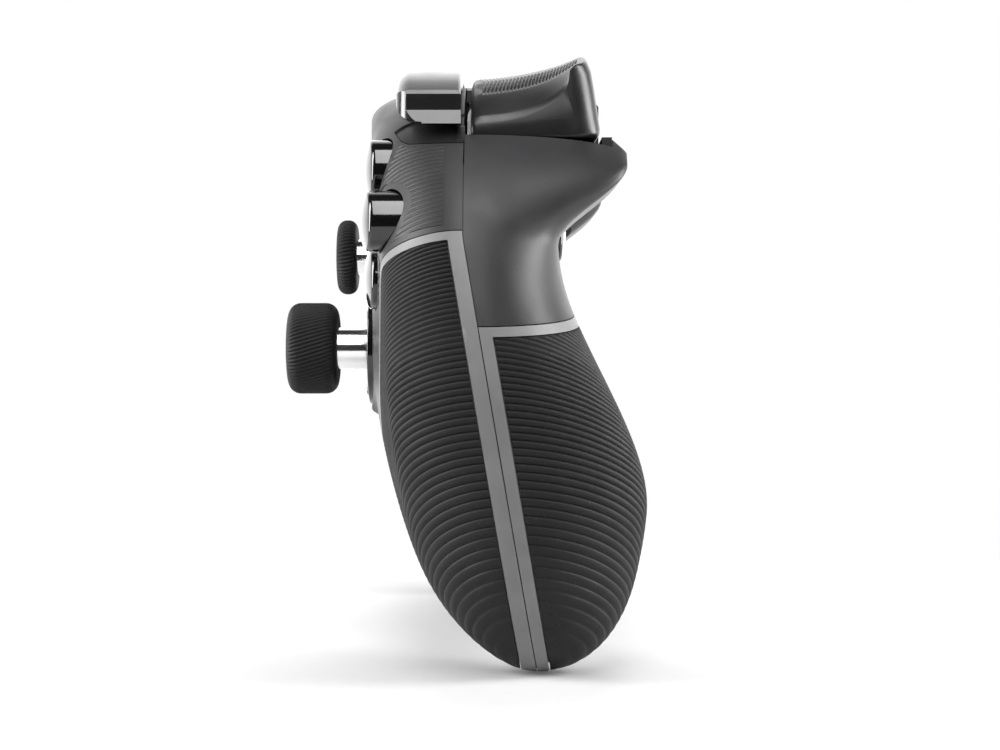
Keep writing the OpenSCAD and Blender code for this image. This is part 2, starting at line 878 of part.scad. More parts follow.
// A bar that follows the top edge from x0 to x1, with eased ends
module shoulder_bar(x0, x1, end_scale) {
    n = 14;
    rows = [for (k = [0 : n])
        let (x = x0 + (x1 - x0) * (1 - cos(180 * k / n)) / 2,
             t = (edge_high(x + 0.01, 0) - edge_high(x - 0.01, 0)) / 0.02,
             out = [-t, 1] / norm([t, 1]),
             s = k == n ? end_scale : k == n - 1 ? (end_scale + 2) / 3 : 1)
        [for (p = bumper_section(s, bumper_thick(x)))
            [x + out[0] * p[0], edge_high(x, 0) + out[1] * p[0], p[1]]]];
    w = len(rows[0]);
    points = [for (r = rows, p = r) p];
    sides = [for (k = [0 : n - 1], j = [0 : w - 1])
        let (a = k * w + j, b = k * w + (j + 1) % w) each [[a, b, b + w], [a, b + w, a + w]]];
    caps = [for (j = [1 : w - 2]) each [[0, j + 1, j], [n * w, n * w + j, n * w + j + 1]]];
    polyhedron(points = points, faces = concat(sides, caps));
}

bumper_pin_y = edge_high(bumper_pin_x, 0) + bumper_gap + bumper_thick(bumper_pin_x) / 2;

// Tabs that hold the bridge in slots of the front shell, larger by g all round
module bridge_tabs(g) {
    low = top_y - wall - 2;
    both_sides()
        translate([tab_x - tab_w / 2 - g, low, tab_z - g])
            cube([tab_w + 2 * g, top_y + bumper_gap + 1 - low, tab_h + 2 * g]);
}

module bumper() {
    difference() {
        shoulder_bar(bumper_start, bumper_end, 0.72);
        translate([bumper_start - 8, bumper_pin_y - 12, tongue_low - run_gap])
            cube([bumper_pin_x - bumper_start + 12, 24, tongue_high - tongue_low + 2 * run_gap]);
        translate([bumper_pin_x, bumper_pin_y, bumper_low - 1])
            cylinder(r = bumper_pin_r + pin_gap, h = bumper_high - bumper_low - 0.6);
    }
}

module bumper_right() {
    color([0.08, 0.08, 0.08]) bumper();
}

module bumper_left() {
    color([0.08, 0.08, 0.08]) left_side() bumper();
}

// The middle of the shoulder bar, with a tongue and a pin for each bumper
module bumper_bridge() {
    color([0.08, 0.08, 0.08])
        union() {
            shoulder_bar(-bridge_x, bridge_x, 1);
            bridge_tabs(0);
            both_sides() {
                translate([bridge_x - 3, bumper_pin_y - tongue_w / 2, tongue_low])
                    cube([bumper_pin_x - bridge_x + 3, tongue_w, tongue_high - tongue_low]);
                translate([bumper_pin_x, bumper_pin_y, tongue_low])
                    cylinder(r = tongue_w / 2, h = tongue_high - tongue_low);
                translate([bumper_pin_x, bumper_pin_y, bumper_low + 1])
                    cylinder(r = bumper_pin_r, h = bumper_high - bumper_low - 3);
            }
        }
}

// Side view of a trigger at x as y and z, drawn towards its middle by d
trigger_mid = [40.5, 20];
trigger_fall_y = [37, 46];
trigger_fall_z = 31;
trigger_tip_y = 54.3;
trigger_tip_z = 11;
trigger_tip_hold = 0.64;
function curve(a, b, c, t) = a * (1 - t) * (1 - t) + b * 2 * t * (1 - t) + c * t * t;
function trigger_lower(x, y, z) =
    let (u = max(0, (x - trigger_in - 2) / (trigger_out - trigger_in - 2)),
         back = max(0, min(1, (trigger_fall_z - z) / (trigger_fall_z - trigger_tip_z))))
    y - trigger_fall * pow(u, 4) * (1 - trigger_tip_hold * pow(back, 4))
        * ease(trigger_fall_y[0], trigger_fall_y[1], y);
function trigger_side(x, d) =
    let (face = [for (t = [0 : 1 / 6 : 1.01]) curve([49.9, 30], [50.6, 19.5], [trigger_tip_y, 11.6], t)],
         back = [[trigger_tip_y - 0.6, 10.4], [51.6, 9.7], [45.2, 8.8], [38.7, 8], [37.6, 6.9], [37.3, 8.6]],
         line = concat([[39.4, 31.4], [48.8, 31.3]], face, back))
    [for (p = line)
        let (q = [trigger_lower(x, p[0], p[1]), p[1]])
        q + (trigger_mid - q) * d / norm(trigger_mid - q)];

// A body through side views given as places across the trigger and how far each is drawn in
module trigger_loft(stations) {
    rows = [for (s = stations) [for (p = trigger_side(s[0], s[1])) [s[0], p[0], p[1]]]];
    n = len(stations) - 1;
    w = len(rows[0]);
    middles = [for (s = [stations[0], stations[n]]) [s[0], trigger_mid[0], trigger_mid[1]]];
    sides = [for (k = [0 : n - 1], j = [0 : w - 1])
        let (a = k * w + j, b = k * w + (j + 1) % w) each [[a, b, b + w], [a, b + w, a + w]]];
    c = (n + 1) * w;
    caps = [for (j = [0 : w - 1])
        each [[c, (j + 1) % w, j], [c + 1, n * w + j, n * w + (j + 1) % w]]];
    polyhedron(points = concat([for (r = rows, p = r) p], middles), faces = concat(sides, caps));
}

// A hollow trigger, open below and in front, with a pivot pin on each side wall
module trigger() {
    width = trigger_out - trigger_in;
    inner = trigger_in + trigger_wall;
    room = width - 2 * trigger_wall;
    embed = 0.3;
    slot = spring_d / 2 + wire_d / 2 + run_gap;
    slot_w = bracket_out - bracket_in + 2 * run_gap;
    pin_len = bracket_in + bracket_t - 0.2 - trigger_in - trigger_wall + embed;
    spread = [0.25, 0.42, 0.57, 0.7, 0.8, 0.87];
    difference() {
        trigger_loft(concat(
            [[trigger_in, 1.5], [trigger_in + 0.6, 0.4], [trigger_in + 1.8, 0]],
            [for (k = spread) [trigger_in + width * k, 0]],
            [[trigger_out - 1.8, 0], [trigger_out - 0.6, 0.4], [trigger_out, 1.5]]));
        trigger_loft([for (k = [0 : 0.2 : 1.01]) [inner + room * k, trigger_wall]]);
        translate([inner, 0, 0])
            rotate([90, 0, 90])
                linear_extrude(room)
                    polygon([[30, 36], [trigger_mid[0], 36], [trigger_mid[0], 11], [30, 10]]);
        translate([bracket_in - run_gap, trigger_mid[0] - 1, trigger_pin_z - slot])
            cube([slot_w, trigger_pin_y + slot - trigger_mid[0] + 1, 4 * slot]);
    }
    along_x(trigger_in + trigger_wall - embed, trigger_pin_y, trigger_pin_z, pin_d / 2, pin_len);
    along_x(trigger_out - trigger_wall + embed - pin_len, trigger_pin_y, trigger_pin_z, pin_d / 2, pin_len);
}

module trigger_right() {
    color([0.12, 0.12, 0.12]) trigger();
}

module trigger_left() {
    color([0.12, 0.12, 0.12]) left_side() trigger();
}

// Two eared plates on a foot, which take the trigger's pins
module trigger_bracket() {
    ear = pin_d / 2 + 1.4;
    difference() {
        union() {
            for (x = [bracket_in, bracket_out - bracket_t]) {
                along_x(x, trigger_pin_y, trigger_pin_z, ear, bracket_t);
                translate([x, bracket_foot_y, trigger_pin_z - ear])
                    cube([bracket_t, trigger_pin_y - bracket_foot_y, 2 * ear]);
            }
            translate([bracket_in, bracket_foot_y, trigger_pin_z - ear])
                cube([bracket_out - bracket_in, bracket_foot_t, 2 * ear]);
        }
        along_x(trigger_in, trigger_pin_y, trigger_pin_z, pin_d / 2 + pin_gap, trigger_out - trigger_in);
    }
}

module trigger_bracket_right() {
    color("silver") trigger_bracket();
}

module trigger_bracket_left() {
    color("silver") left_side() trigger_bracket();
}

// A coil spring between the bracket's plates, wound about the pivot
coil_turns = 5;
coil_rings = 8;
coil_sides = 6;
coil_start = bracket_in + bracket_t + wire_d / 2 + 0.3;
coil_end = bracket_out - bracket_t - wire_d / 2 - 0.3;
coil_count = coil_turns * coil_rings;
function coil_point(k) =
    let (a = 360 * k / coil_rings)
    [coil_start + (coil_end - coil_start) * k / coil_count,
     trigger_pin_y + spring_d / 2 * cos(a), trigger_pin_z + spring_d / 2 * sin(a)];
coil_gap = min([for (k = [0 : coil_count - coil_rings])
    norm(coil_point(k + coil_rings) - coil_point(k))]) - wire_d;
echo(spring_gap = coil_gap);

module trigger_spring() {
    pitch = (coil_end - coil_start) / coil_turns;
    rise = atan(pitch / PI / spring_d);
    points = [for (k = [0 : coil_count], j = [0 : coil_sides - 1])
        let (c = coil_point(k),
             a = 360 * k / coil_rings,
             b = 360 * j / coil_sides,
             out = [0, cos(a), sin(a)],
             side = [cos(rise), sin(rise) * sin(a), -sin(rise) * cos(a)])
        c + wire_d / 2 * (cos(b) * out + sin(b) * side)];
    w = coil_sides;
    sides = [for (k = [0 : coil_count - 1], j = [0 : w - 1])
        let (a = k * w + j, b = k * w + (j + 1) % w) each [[a, b + w, b], [a, a + w, b + w]]];
    last = coil_count * w;
    caps = [for (j = [1 : w - 2]) each [[0, j, j + 1], [last, last + j + 1, last + j]]];
    polyhedron(points = points, faces = concat(sides, caps));
}

module trigger_spring_right() {
    color("silver") trigger_spring();
}

module trigger_spring_left() {
    color("silver") left_side() trigger_spring();
}

module main_board() {
    color("darkgreen")
        difference() {
            translate([0, 0, board_low])
                linear_extrude(board_t)
                    polygon([[-56, -6], [-8, -9.5], [8, -9.5], [56, -6], [63, 8], [63, 25],
                             [50, board_top_y], [22, board_top_y], [20, 46], [-20, 46],
                             [-22, board_top_y], [-50, board_top_y], [-63, 25], [-63, 8]]);
            for (p = screw_places) translate([p[0], p[1], 0]) through(2 * post_r + 1);
        }
}

module battery() {
    color("steelblue") translate([-23, 5, board_low - 8.8]) cube([46, 27, 8.5]);
}

// A motor on a rib in each grip, with a weight on its shaft
motor_x = 57;
motor_y = -26;
motor_r = 5.5;
motor_len = 10;
motor_z = 13.8;
rib_w = 4;
rib_t = 2.4;
weight_r = 5;
weight_t = 5;
motor_shaft_r = 1;

module motor_rib() {
    low = rear_at(motor_x, motor_y) + pad_t + 2 * seam_gap;
    translate([motor_x - rib_w / 2, motor_y - rib_t / 2, low])
        cube([rib_w, rib_t, motor_z - motor_r - pin_gap - low]);
}

module rumble_motor() {
    along_x(motor_x - motor_len / 2, motor_y, motor_z, motor_r, motor_len);
    along_x(motor_x - motor_len / 2 - weight_t - 1.4, motor_y, motor_z, motor_shaft_r, weight_t + 2);
}

module rumble_weight() {
    x = motor_x - motor_len / 2 - weight_t - 0.6;
    difference() {
        intersection() {
            along_x(x, motor_y, motor_z, weight_r, weight_t);
            translate([x - 1, motor_y - 2 * weight_r, motor_z - 2])
                cube([weight_t + 2, 4 * weight_r, 3 * weight_r]);
        }
        along_x(x - 5, motor_y, motor_z, motor_shaft_r + pin_gap, weight_t + 10);
    }
}

module rumble_motor_right() {
    color("silver") rumble_motor();
}

module rumble_motor_left() {
    color("silver") left_side() rumble_motor();
}

module rumble_weight_right() {
    color("goldenrod") rumble_weight();
}

module rumble_weight_left() {
    color("goldenrod") left_side() rumble_weight();
}

// A charging port under the board, its mouth in the top wall
port_w = 9;
port_h = 3.3;
port_z = board_low - port_h / 2 - 0.5;
port_len = 7.4;

module port_prism(g, y, len) {
    r = port_h / 2 + g;
    for (x = [-1, 1])
        translate([x * (port_w - port_h) / 2, y, port_z]) rotate([-90, 0, 0]) cylinder(r = r, h = len);
    translate([-(port_w - port_h) / 2, y, port_z - r]) cube([port_w - port_h, len, 2 * r]);
}

module charging_port() {
    back_y = top_y - port_len - 0.6;
    color("silver")
        difference() {
            port_prism(0, back_y, port_len);
            port_prism(-0.35, back_y + 1, port_len);
        }
}

// A headset socket on the board, its barrel in the lower edge
jack_z = board_z + 3;
jack_bore_d = 3.6;
jack_barrel_d = 5.4;
jack_depth = 12;

module headset_jack() {
    color([0.1, 0.1, 0.1])
        difference() {
            union() {
                translate([-3, crotch_y + 4, board_z]) cube([6, 10, 6]);
                translate([0, crotch_y + 0.6, jack_z])
                    rotate([-90, 0, 0]) cylinder(d = jack_barrel_d, h = 5);
            }
            translate([0, crotch_y - 5, jack_z])
                rotate([-90, 0, 0]) cylinder(d = jack_bore_d, h = jack_depth + 5.6);
        }
}

module case_screws() {
    color("silver")
        for (p = screw_places)
            at_screw(p, screw_seat - screw_head_h) {
                difference() {
                    cylinder(r = screw_head_r, h = screw_head_h);
                    translate([0, 0, -0.5]) cylinder(r = 1, h = 1.2, $fn = 6);
                }
                cylinder(r = screw_r, h = screw_len - 2);
            }
}

front_shell();
rear_shell();
front_grip_right();
front_grip_left();
rear_grip_right();
rear_grip_left();
front_rubber_right();
front_rubber_left();
rear_rubber_right();
rear_rubber_left();
stick_ring_right();
stick_ring_left();
stick_cap_right();
stick_cap_left();
stick_stem_right();
stick_stem_left();
stick_dome_right();
stick_dome_left();
stick_yoke_right();
stick_yoke_left();
stick_module_right();
stick_module_left();
face_button_top();
face_button_right();
face_button_bottom();
face_button_left();
face_button_mat();
direction_pad();
direction_rocker();
direction_base();
view_button();
menu_button();
home_button();
rear_button_right();
rear_button_left();
tact_switches();
bumper_right();
bumper_left();
bumper_bridge();
trigger_right();
trigger_left();
trigger_bracket_right();
trigger_bracket_left();
trigger_spring_right();
trigger_spring_left();
main_board();
battery();
rumble_motor_right();
rumble_motor_left();
rumble_weight_right();
rumble_weight_left();
charging_port();
headset_jack();
case_screws();
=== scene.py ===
"""Gamepad controller: casing, ridged grips, sticks, buttons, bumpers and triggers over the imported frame.

Sizes are millimetres in the frame's own axes: +X to the player's right, +Y towards the triggers and +Z out
of the face. They turn into metres where a mesh is made.
"""

import json
import logging
import math
from dataclasses import dataclass
from enum import Enum
from typing import Callable

import bpy
import numpy as np
from mathutils import Matrix, Vector

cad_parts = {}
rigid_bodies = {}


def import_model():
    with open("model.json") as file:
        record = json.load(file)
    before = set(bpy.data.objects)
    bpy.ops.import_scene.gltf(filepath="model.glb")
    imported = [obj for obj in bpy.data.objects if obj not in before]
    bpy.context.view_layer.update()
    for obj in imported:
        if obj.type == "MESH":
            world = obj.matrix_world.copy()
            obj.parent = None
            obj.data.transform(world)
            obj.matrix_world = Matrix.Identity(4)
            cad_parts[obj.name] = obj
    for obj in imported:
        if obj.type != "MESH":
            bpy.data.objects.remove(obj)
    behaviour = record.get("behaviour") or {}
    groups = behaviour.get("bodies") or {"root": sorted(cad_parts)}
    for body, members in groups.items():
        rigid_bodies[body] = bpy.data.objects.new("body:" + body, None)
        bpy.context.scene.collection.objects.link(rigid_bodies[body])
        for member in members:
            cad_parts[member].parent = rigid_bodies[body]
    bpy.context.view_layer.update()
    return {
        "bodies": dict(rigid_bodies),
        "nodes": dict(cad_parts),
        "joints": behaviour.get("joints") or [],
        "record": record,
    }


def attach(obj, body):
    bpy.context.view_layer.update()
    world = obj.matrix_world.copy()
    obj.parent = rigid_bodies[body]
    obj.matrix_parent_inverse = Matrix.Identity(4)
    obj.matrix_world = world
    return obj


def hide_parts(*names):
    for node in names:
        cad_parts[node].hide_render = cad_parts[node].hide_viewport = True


LOG = logging.getLogger("gamepad")
MM = 0.001
AXIS_R = 0.02  # turned bodies stop this far from their axis
Pair = tuple[float, float]
Triple = tuple[float, float, float]
Colour = Triple
Corners = list[Pair] | tuple[Pair, ...]
Socket = bpy.types.NodeSocket
Tree = bpy.types.NodeTree
Sockets = dict[str, Socket]
Dent = Callable[[np.ndarray, np.ndarray], np.ndarray]
Edge = Callable[[np.ndarray, float], np.ndarray]


class Half(Enum):
    """A half of the casing."""

    FRONT = "front"
    REAR = "rear"


class Side(Enum):
    """A side of the player, with the sign of X there."""

    RIGHT = 1
    LEFT = -1

    @property
    def word(self) -> str:
        """The side's name as pieces use it."""
        return self.name.lower()


class Cut(Enum):
    """How a tool form works on a piece."""

    OFF = "DIFFERENCE"
    KEEP = "INTERSECT"
    ADD = "UNION"


class Grain(Enum):
    """Kind of surface that a finish has."""

    MOULDED = "moulded"
    RUBBER = "rubber"
    POLISHED = "polished"
    BRUSHED = "brushed"
    BOARD = "board"
    FILM = "film"


@dataclass
class Form:
    """A closed mesh in millimetres."""

    points: np.ndarray
    faces: list[tuple[int, ...]]

    def volume(self) -> float:
        """Signed volume, positive when the faces look outward."""
        total = 0.0
        groups: dict[int, list[tuple[int, ...]]] = {}
        for face in self.faces:
            groups.setdefault(len(face), []).append(face)
        for corners, faces in groups.items():
            p = self.points[np.array(faces)]
            for k in range(1, corners - 1):
                total += float(np.einsum("ij,ij->", p[:, 0], np.cross(p[:, k], p[:, k + 1])))
        return total / 6

    def outward(self) -> "Form":
        """The same form with its faces looking outward."""
        if self.volume() >= 0:
            return self
        return Form(self.points, [face[::-1] for face in self.faces])

    def changed(self, move: Callable[[np.ndarray], np.ndarray]) -> "Form":
        """The form with its points moved.

        Args:
            move: turns an array of points into their new places.

        Returns:
            The new form, faces outward.
        """
        return Form(move(self.points), self.faces).outward()

    def at(self, x: float, y: float, z: float = 0.0) -> "Form":
        """The form shifted by x, y and z."""
        return self.changed(lambda p: p + np.array([x, y, z]))

    def on(self, side: Side) -> "Form":
        """The form as it is on the right, or mirrored to the left."""
        return self.changed(lambda p: p * np.array([side.value, 1, 1]))


Tools = list[tuple[Cut, Form]]


def both(how: Cut, forms: list[Form]) -> Tools:
    """Tools on the right side, then the same ones mirrored to the left."""
    return [(how, form.on(side)) for side in Side for form in forms]


def sided(tools: Tools, side: Side) -> Tools:
    """Tools as they are on the right, or mirrored to the left."""
    return [(how, form.on(side)) for how, form in tools]


def quads(rows: int, columns: int, start: int = 0, wrap: bool = False) -> list[tuple[int, ...]]:
    """Faces of a grid of points.

    Args:
        rows: points down the grid.
        columns: points across it.
        start: index of the grid's first point.
        wrap: whether the last column joins the first.

    Returns:
        One four-sided face for each cell.
    """
    across = columns if wrap else columns - 1
    k, j = np.meshgrid(np.arange(rows - 1), np.arange(across), indexing="ij")
    nxt = (j + 1) % columns
    row, below = k * columns, (k + 1) * columns
    faces = np.stack([row + j, row + nxt, below + nxt, below + j], -1)
    return [tuple(f) for f in (faces.reshape(-1, 4) + start).tolist()]


def slab(outer: np.ndarray, inner: np.ndarray) -> Form:
    """A closed sheet between two grids of points of the same shape."""
    rows, columns = outer.shape[:2]
    back = rows * columns
    faces = quads(rows, columns) + [f[::-1] for f in quads(rows, columns, back)]
    edge = [(k * columns, (k + 1) * columns) for k in range(rows - 1)]
    edge += [((rows - 1) * columns + j, (rows - 1) * columns + j + 1) for j in range(columns - 1)]
    edge += [((k + 1) * columns - 1 + columns, (k + 1) * columns - 1) for k in range(rows - 1)]
    edge += [(j + 1, j) for j in range(columns - 1)]
    faces += [(a, b, b + back, a + back) for a, b in edge]
    return Form(np.concatenate([outer.reshape(-1, 3), inner.reshape(-1, 3)]), faces).outward()


def sweep(rings: np.ndarray) -> Form:
    """A closed body through rings of points, capped at both ends."""
    rows, columns = rings.shape[:2]
    faces = quads(rows, columns, wrap=True)
    faces.append(tuple(range(columns))[::-1])
    faces.append(tuple(range((rows - 1) * columns, rows * columns)))
    return Form(rings.reshape(-1, 3), faces).outward()


def lathe(profile: np.ndarray, sides: int, dent: Dent | None = None) -> Form:
    """A body turned about Z.

    Args:
        profile: radius and height of each point, from the lower end of the axis to the upper one.
        sides: points round the body.
        dent: gives what is taken off the radius, from angle and height.

    Returns:
        The closed form about the origin.
    """
    turn = np.linspace(0, 2 * math.pi, sides, endpoint=False)
    radius = np.repeat(profile[:, :1], sides, axis=1)
    height = np.repeat(profile[:, 1:2], sides, axis=1)
    angle = np.repeat(turn[None, :], len(profile), axis=0)
    if dent is not None:
        radius = radius - dent(angle, height)
    rings = np.stack([radius * np.cos(angle), radius * np.sin(angle), height], -1)
    return sweep(rings)


def prism(outline: np.ndarray, low: float, high: float, axis: str = "z") -> Form:
    """An outline drawn out along an axis.

    Args:
        outline: points as x and y, or as y and z along "x", or as x and z along "y".
        low: where it starts on the axis.
        high: where it ends.
        axis: "x", "y" or "z".

    Returns:
        The closed form.
    """
    place = {"x": (1, 2, 0), "y": (0, 2, 1), "z": (0, 1, 2)}[axis]
    rings = np.zeros((2, len(outline), 3))
    for ring, level in zip(rings, (low, high)):
        ring[:, place[0]] = outline[:, 0]
        ring[:, place[1]] = outline[:, 1]
        ring[:, place[2]] = level
    return sweep(rings)


def disc(x: float, y: float, radius: float, sides: int = 96) -> np.ndarray:
    """A round outline."""
    a = np.linspace(0, 2 * math.pi, sides, endpoint=False)
    return np.stack([x + radius * np.cos(a), y + radius * np.sin(a)], -1)


def box(x0: float, x1: float, y0: float, y1: float, z0: float, z1: float) -> Form:
    """A plain block used as a cutting tool."""
    return prism(np.array([[x0, y0], [x1, y0], [x1, y1], [x0, y1]]), z0, z1)


def arc(centre: Pair, radius: float, start: float, end: float, steps: int) -> list[list[float]]:
    """Points of an arc, with angles in degrees."""
    angles = np.radians(np.linspace(start, end, steps))
    return [[centre[0] + radius * math.cos(a), centre[1] + radius * math.sin(a)] for a in angles]


def soft_outline(corners: Corners, radius: float, inset: float) -> np.ndarray:
    """An outline with soft corners, drawn in by an inset.

    Args:
        corners: corner points before rounding, clockwise.
        radius: corner radius before the inset.
        inset: distance that every side moves inward.

    Returns:
        Points of the rounded outline.
    """
    p = np.array(corners, float)
    ahead = np.roll(p, -1, axis=0) - p
    ahead /= np.linalg.norm(ahead, axis=1)[:, None]
    inward = np.stack([ahead[:, 1], -ahead[:, 0]], -1)
    before, normal_before = np.roll(ahead, 1, axis=0), np.roll(inward, 1, axis=0)
    points: list[np.ndarray] = []
    for k, corner in enumerate(p):
        turn = before[k][0] * ahead[k][1] - before[k][1] * ahead[k][0]
        lean = math.atan2(turn, float(before[k] @ ahead[k]))
        shift = inset / math.cos(lean / 2)
        middle = normal_before[k] + inward[k]
        apex = corner + middle / np.linalg.norm(middle) * shift
        r = radius - inset if lean < 0 else radius + inset
        reach = r * math.tan(abs(lean) / 2)
        steps = max(2, int(abs(math.degrees(lean)) / 5))
        for t in np.linspace(0, 1, steps + 1):
            a, b = apex - before[k] * reach, apex + ahead[k] * reach
            points.append(a * (1 - t) ** 2 + apex * 2 * t * (1 - t) + b * t * t)
    return np.array(points)


def ease(a: float, b: float, v: np.ndarray) -> np.ndarray:
    """Smooth change from 0 at a to 1 at b."""
    t = np.clip((v - a) / (b - a), 0, 1)
    return t * t * (3 - 2 * t)


def drawn_in(r: float, near: float) -> float:
    """How far an edge rounded by r draws a surface in, at a distance from its end."""
    return r - math.sqrt(max(0.0, r**2 - max(0.0, r - near) ** 2))


@dataclass(frozen=True)
class Casing:
    """The casing's form: outline, parting line and rounded heights, as the solids have them."""

    half_w: float = 78.0
    top_y: float = 51.3
    side_y: float = -20.2
    crotch_y: float = -15.5
    crotch_x: float = 22.0
    tip_x: float = 58.0
    tip_y: float = -57.7
    top_power: float = 2.6
    face_z: float = 51.9
    face_bow: float = 0.0013
    droop: float = 0.0047
    droop_y: float = -0.2
    droop_x: Pair = (18.0, 42.0)
    crisp_r: float = 3.0
    crisp_x: Pair = (22.0, 42.0)
    crisp_y: Pair = (-9.0, 6.0)
    seam_z: float = 32.7
    seam_slope: float = 0.17
    seam_bend_y: float = 18.8
    seam_gap: float = 0.2
    rear_z: float = 15.9
    lip_drop: float = 12.4
    lip_y: Pair = (17.8, 32.3)
    lip_x: Pair = (24.0, 36.0)
    bulge_drop: float = 16.1
    bulge_y: Pair = (-30.2, 19.3)
    bulge_x: Pair = (26.0, 50.0)
    front_radii: Triple = (16.0, 13.0, 6.0)
    front_soft: tuple[Pair, Pair] = ((-30.0, -10.0), (20.0, 45.0))
    rear_radii: Triple = (23.0, 20.0, 3.0)
    rear_soft: tuple[Pair, Pair] = ((-40.0, -20.0), (5.0, 32.3))
    side_flat: float = 0.02
    wall: float = 2.2

    def edge_high(self, x: np.ndarray, inset: float) -> np.ndarray:
        """Upper outline at x, drawn in by inset."""
        u = np.minimum(1, np.abs(x) / (self.half_w - inset))
        rest = np.maximum(0, 1 - u**self.top_power)
        return self.side_y + (self.top_y - inset - self.side_y) * rest ** (1 / self.top_power)

    def edge_low(self, x: np.ndarray, inset: float) -> np.ndarray:
        """Lower outline at x, drawn in by inset."""
        run = self.tip_x - self.crotch_x
        drop = self.tip_y - self.crotch_y
        t = np.clip((x - self.crotch_x) / run, 0, 1)
        inner = self.crotch_y + drop * ease(self.crotch_x, self.tip_x, x)
        inner = inner + inset * np.hypot(1, drop / run * 6 * t * (1 - t))
        u = np.clip((x - self.tip_x) / (self.half_w - inset - self.tip_x), 0, 1)
        outer = self.side_y + (self.tip_y + inset - self.side_y) * np.sqrt(1 - u * u)
        return np.where(x < self.tip_x, inner, outer)

    def slope(self, edge: Edge, x: np.ndarray, inset: float) -> np.ndarray:
        """Rise of an outline for each step in x."""
        d = 0.01
        return (edge(x + d, inset) - edge(x - d, inset)) / 2 / d

    def stretch(self, edge: Edge, x: np.ndarray, inset: float) -> np.ndarray:
        """Length of an outline for each step in x."""
        return np.hypot(1, self.slope(edge, x, inset))

    def parting(self, y: np.ndarray) -> np.ndarray:
        """Height of the parting line."""
        return self.seam_z - self.seam_slope * np.maximum(0, self.seam_bend_y - y)

    def edge_distance(self, x: np.ndarray, y: np.ndarray, inset: float) -> np.ndarray:
        """Soft distance from both outlines, 0 on them and outside."""
        high = (self.edge_high(x, inset) - y) / self.stretch(self.edge_high, x, inset)
        low = (y - self.edge_low(x, inset)) / self.stretch(self.edge_low, x, inset)
        inside = (x < self.half_w - inset - 2 * self.side_flat) & (high > 0) & (low > 0)
        return np.where(inside, high * low / np.where(inside, high + low, 1), 0)

    def height(self, half: Half, x: np.ndarray, y: np.ndarray, inset: float = 0.0) -> np.ndarray:
        """Height of a casing half over a point of the plan.

        Args:
            half: front or rear.
            x: distance from the middle.
            y: place along the body.
            inset: distance inside the outer surface.

        Returns:
            The surface's height.
        """
        ax = np.abs(x)
        e = self.edge_distance(ax, y, inset)
        if half is Half.FRONT:
            r = self._along(self.front_radii, self.front_soft, y)
            crisp = (1 - ease(*self.crisp_x, ax)) * (1 - ease(*self.crisp_y, y))
            r = r + (self.crisp_r - r) * crisp
            fall = self.droop * np.maximum(0, self.droop_y - y) ** 2 * ease(*self.droop_x, ax)
            level = self.face_z - self.face_bow * ax * ax - fall
            base = self.parting(y)
            return base + (level - inset - base) * self._rounding(e / (r - inset))
        r = self._along(self.rear_radii, self.rear_soft, y)
        level = self.rear_z - self.lip_drop * ease(*self.lip_y, y) * ease(*self.lip_x, ax)
        level = level - self.bulge_drop * (1 - ease(*self.bulge_y, y)) * ease(*self.bulge_x, ax)
        base = self.parting(y) - self.seam_gap
        return base - (base - level - inset) * self._rounding(e / (r - inset))

    @staticmethod
    def _along(radii: Triple, spans: tuple[Pair, Pair], y: np.ndarray) -> np.ndarray:
        """Edge radius from the tips to the shoulders, which changes over two spans of y."""
        low, high = (ease(*span, y) for span in spans)
        return radii[0] + (radii[1] - radii[0]) * low + (radii[2] - radii[1]) * high

    @staticmethod
    def _rounding(t: np.ndarray) -> np.ndarray:
        """Quarter-round rise from 0 to 1."""
        return np.sqrt(np.maximum(0, 1 - (1 - np.clip(t, 0, 1)) ** 2))

    def grid(self, half: Half, inset: float, shares: np.ndarray, steps: int, end_y: float) -> np.ndarray:
        """Points of a surface through stations across the body.

        Args:
            half: front or rear.
            inset: distance inside the outer surface.
            shares: stations as shares of the half width.
            steps: steps along each station.
            end_y: where the stations end at the upper side.

        Returns:
            An array of stations by points.
        """
        x = np.repeat(((self.half_w - self.side_flat - inset) * shares)[:, None], steps + 1, axis=1)
        low, high = self.edge_low(np.abs(x), inset), self.edge_high(x, inset)
        t = (1 - np.cos(np.pi * np.arange(steps + 1) / steps)) / 2
        y = low + (np.minimum(high, end_y) - low) * t
        return np.stack([x, y, self.height(half, x, y, inset)], -1)

    def face_at(self, x: float, y: float) -> float:
        """Height of the face over a point."""
        return float(self.height(Half.FRONT, np.array([abs(x)]), np.array([y]))[0])

    def rear_at(self, x: float, y: float) -> float:
        """Height of the back under a point."""
        return float(self.height(Half.REAR, np.array([abs(x)]), np.array([y]))[0])


CASING = Casing()


class Nodes:
    """A short way to lay shader nodes in a tree."""

    def __init__(self, tree: Tree) -> None:
        """Keeps the tree to lay nodes in."""
        self.tree = tree

    def add(self, kind: str, inputs: dict | None = None, **settings: object) -> bpy.types.Node:
        """Lays a node.

        Args:
            kind: the node's type name without its ShaderNode prefix.
            inputs: values or output sockets for its inputs, by name or number.
            settings: attributes of the node.

        Returns:
            The node.
        """
        node = self.tree.nodes.new("ShaderNode" + kind)
        for name, value in settings.items():
            setattr(node, name, value)
        for name, value in (inputs or {}).items():
            if isinstance(value, Socket):
                self.tree.links.new(value, node.inputs[name])
            else:
                node.inputs[name].default_value = value
        return node

    def maths(self, operation: str, a: object, b: object = 0.0, clamp: bool = False) -> Socket:
        """Output of a maths node on two values or sockets."""
        return self.add("Math", {0: a, 1: b}, operation=operation, use_clamp=clamp).outputs[0]

    def ramp(self, value: Socket, low: float, high: float) -> Socket:
        """A value stretched so that low becomes 0 and high becomes 1."""
        return self.add("MapRange", {"Value": value, "From Min": low, "From Max": high}).outputs[0]


Lay = Callable[[Nodes, Socket, Sockets], Sockets]


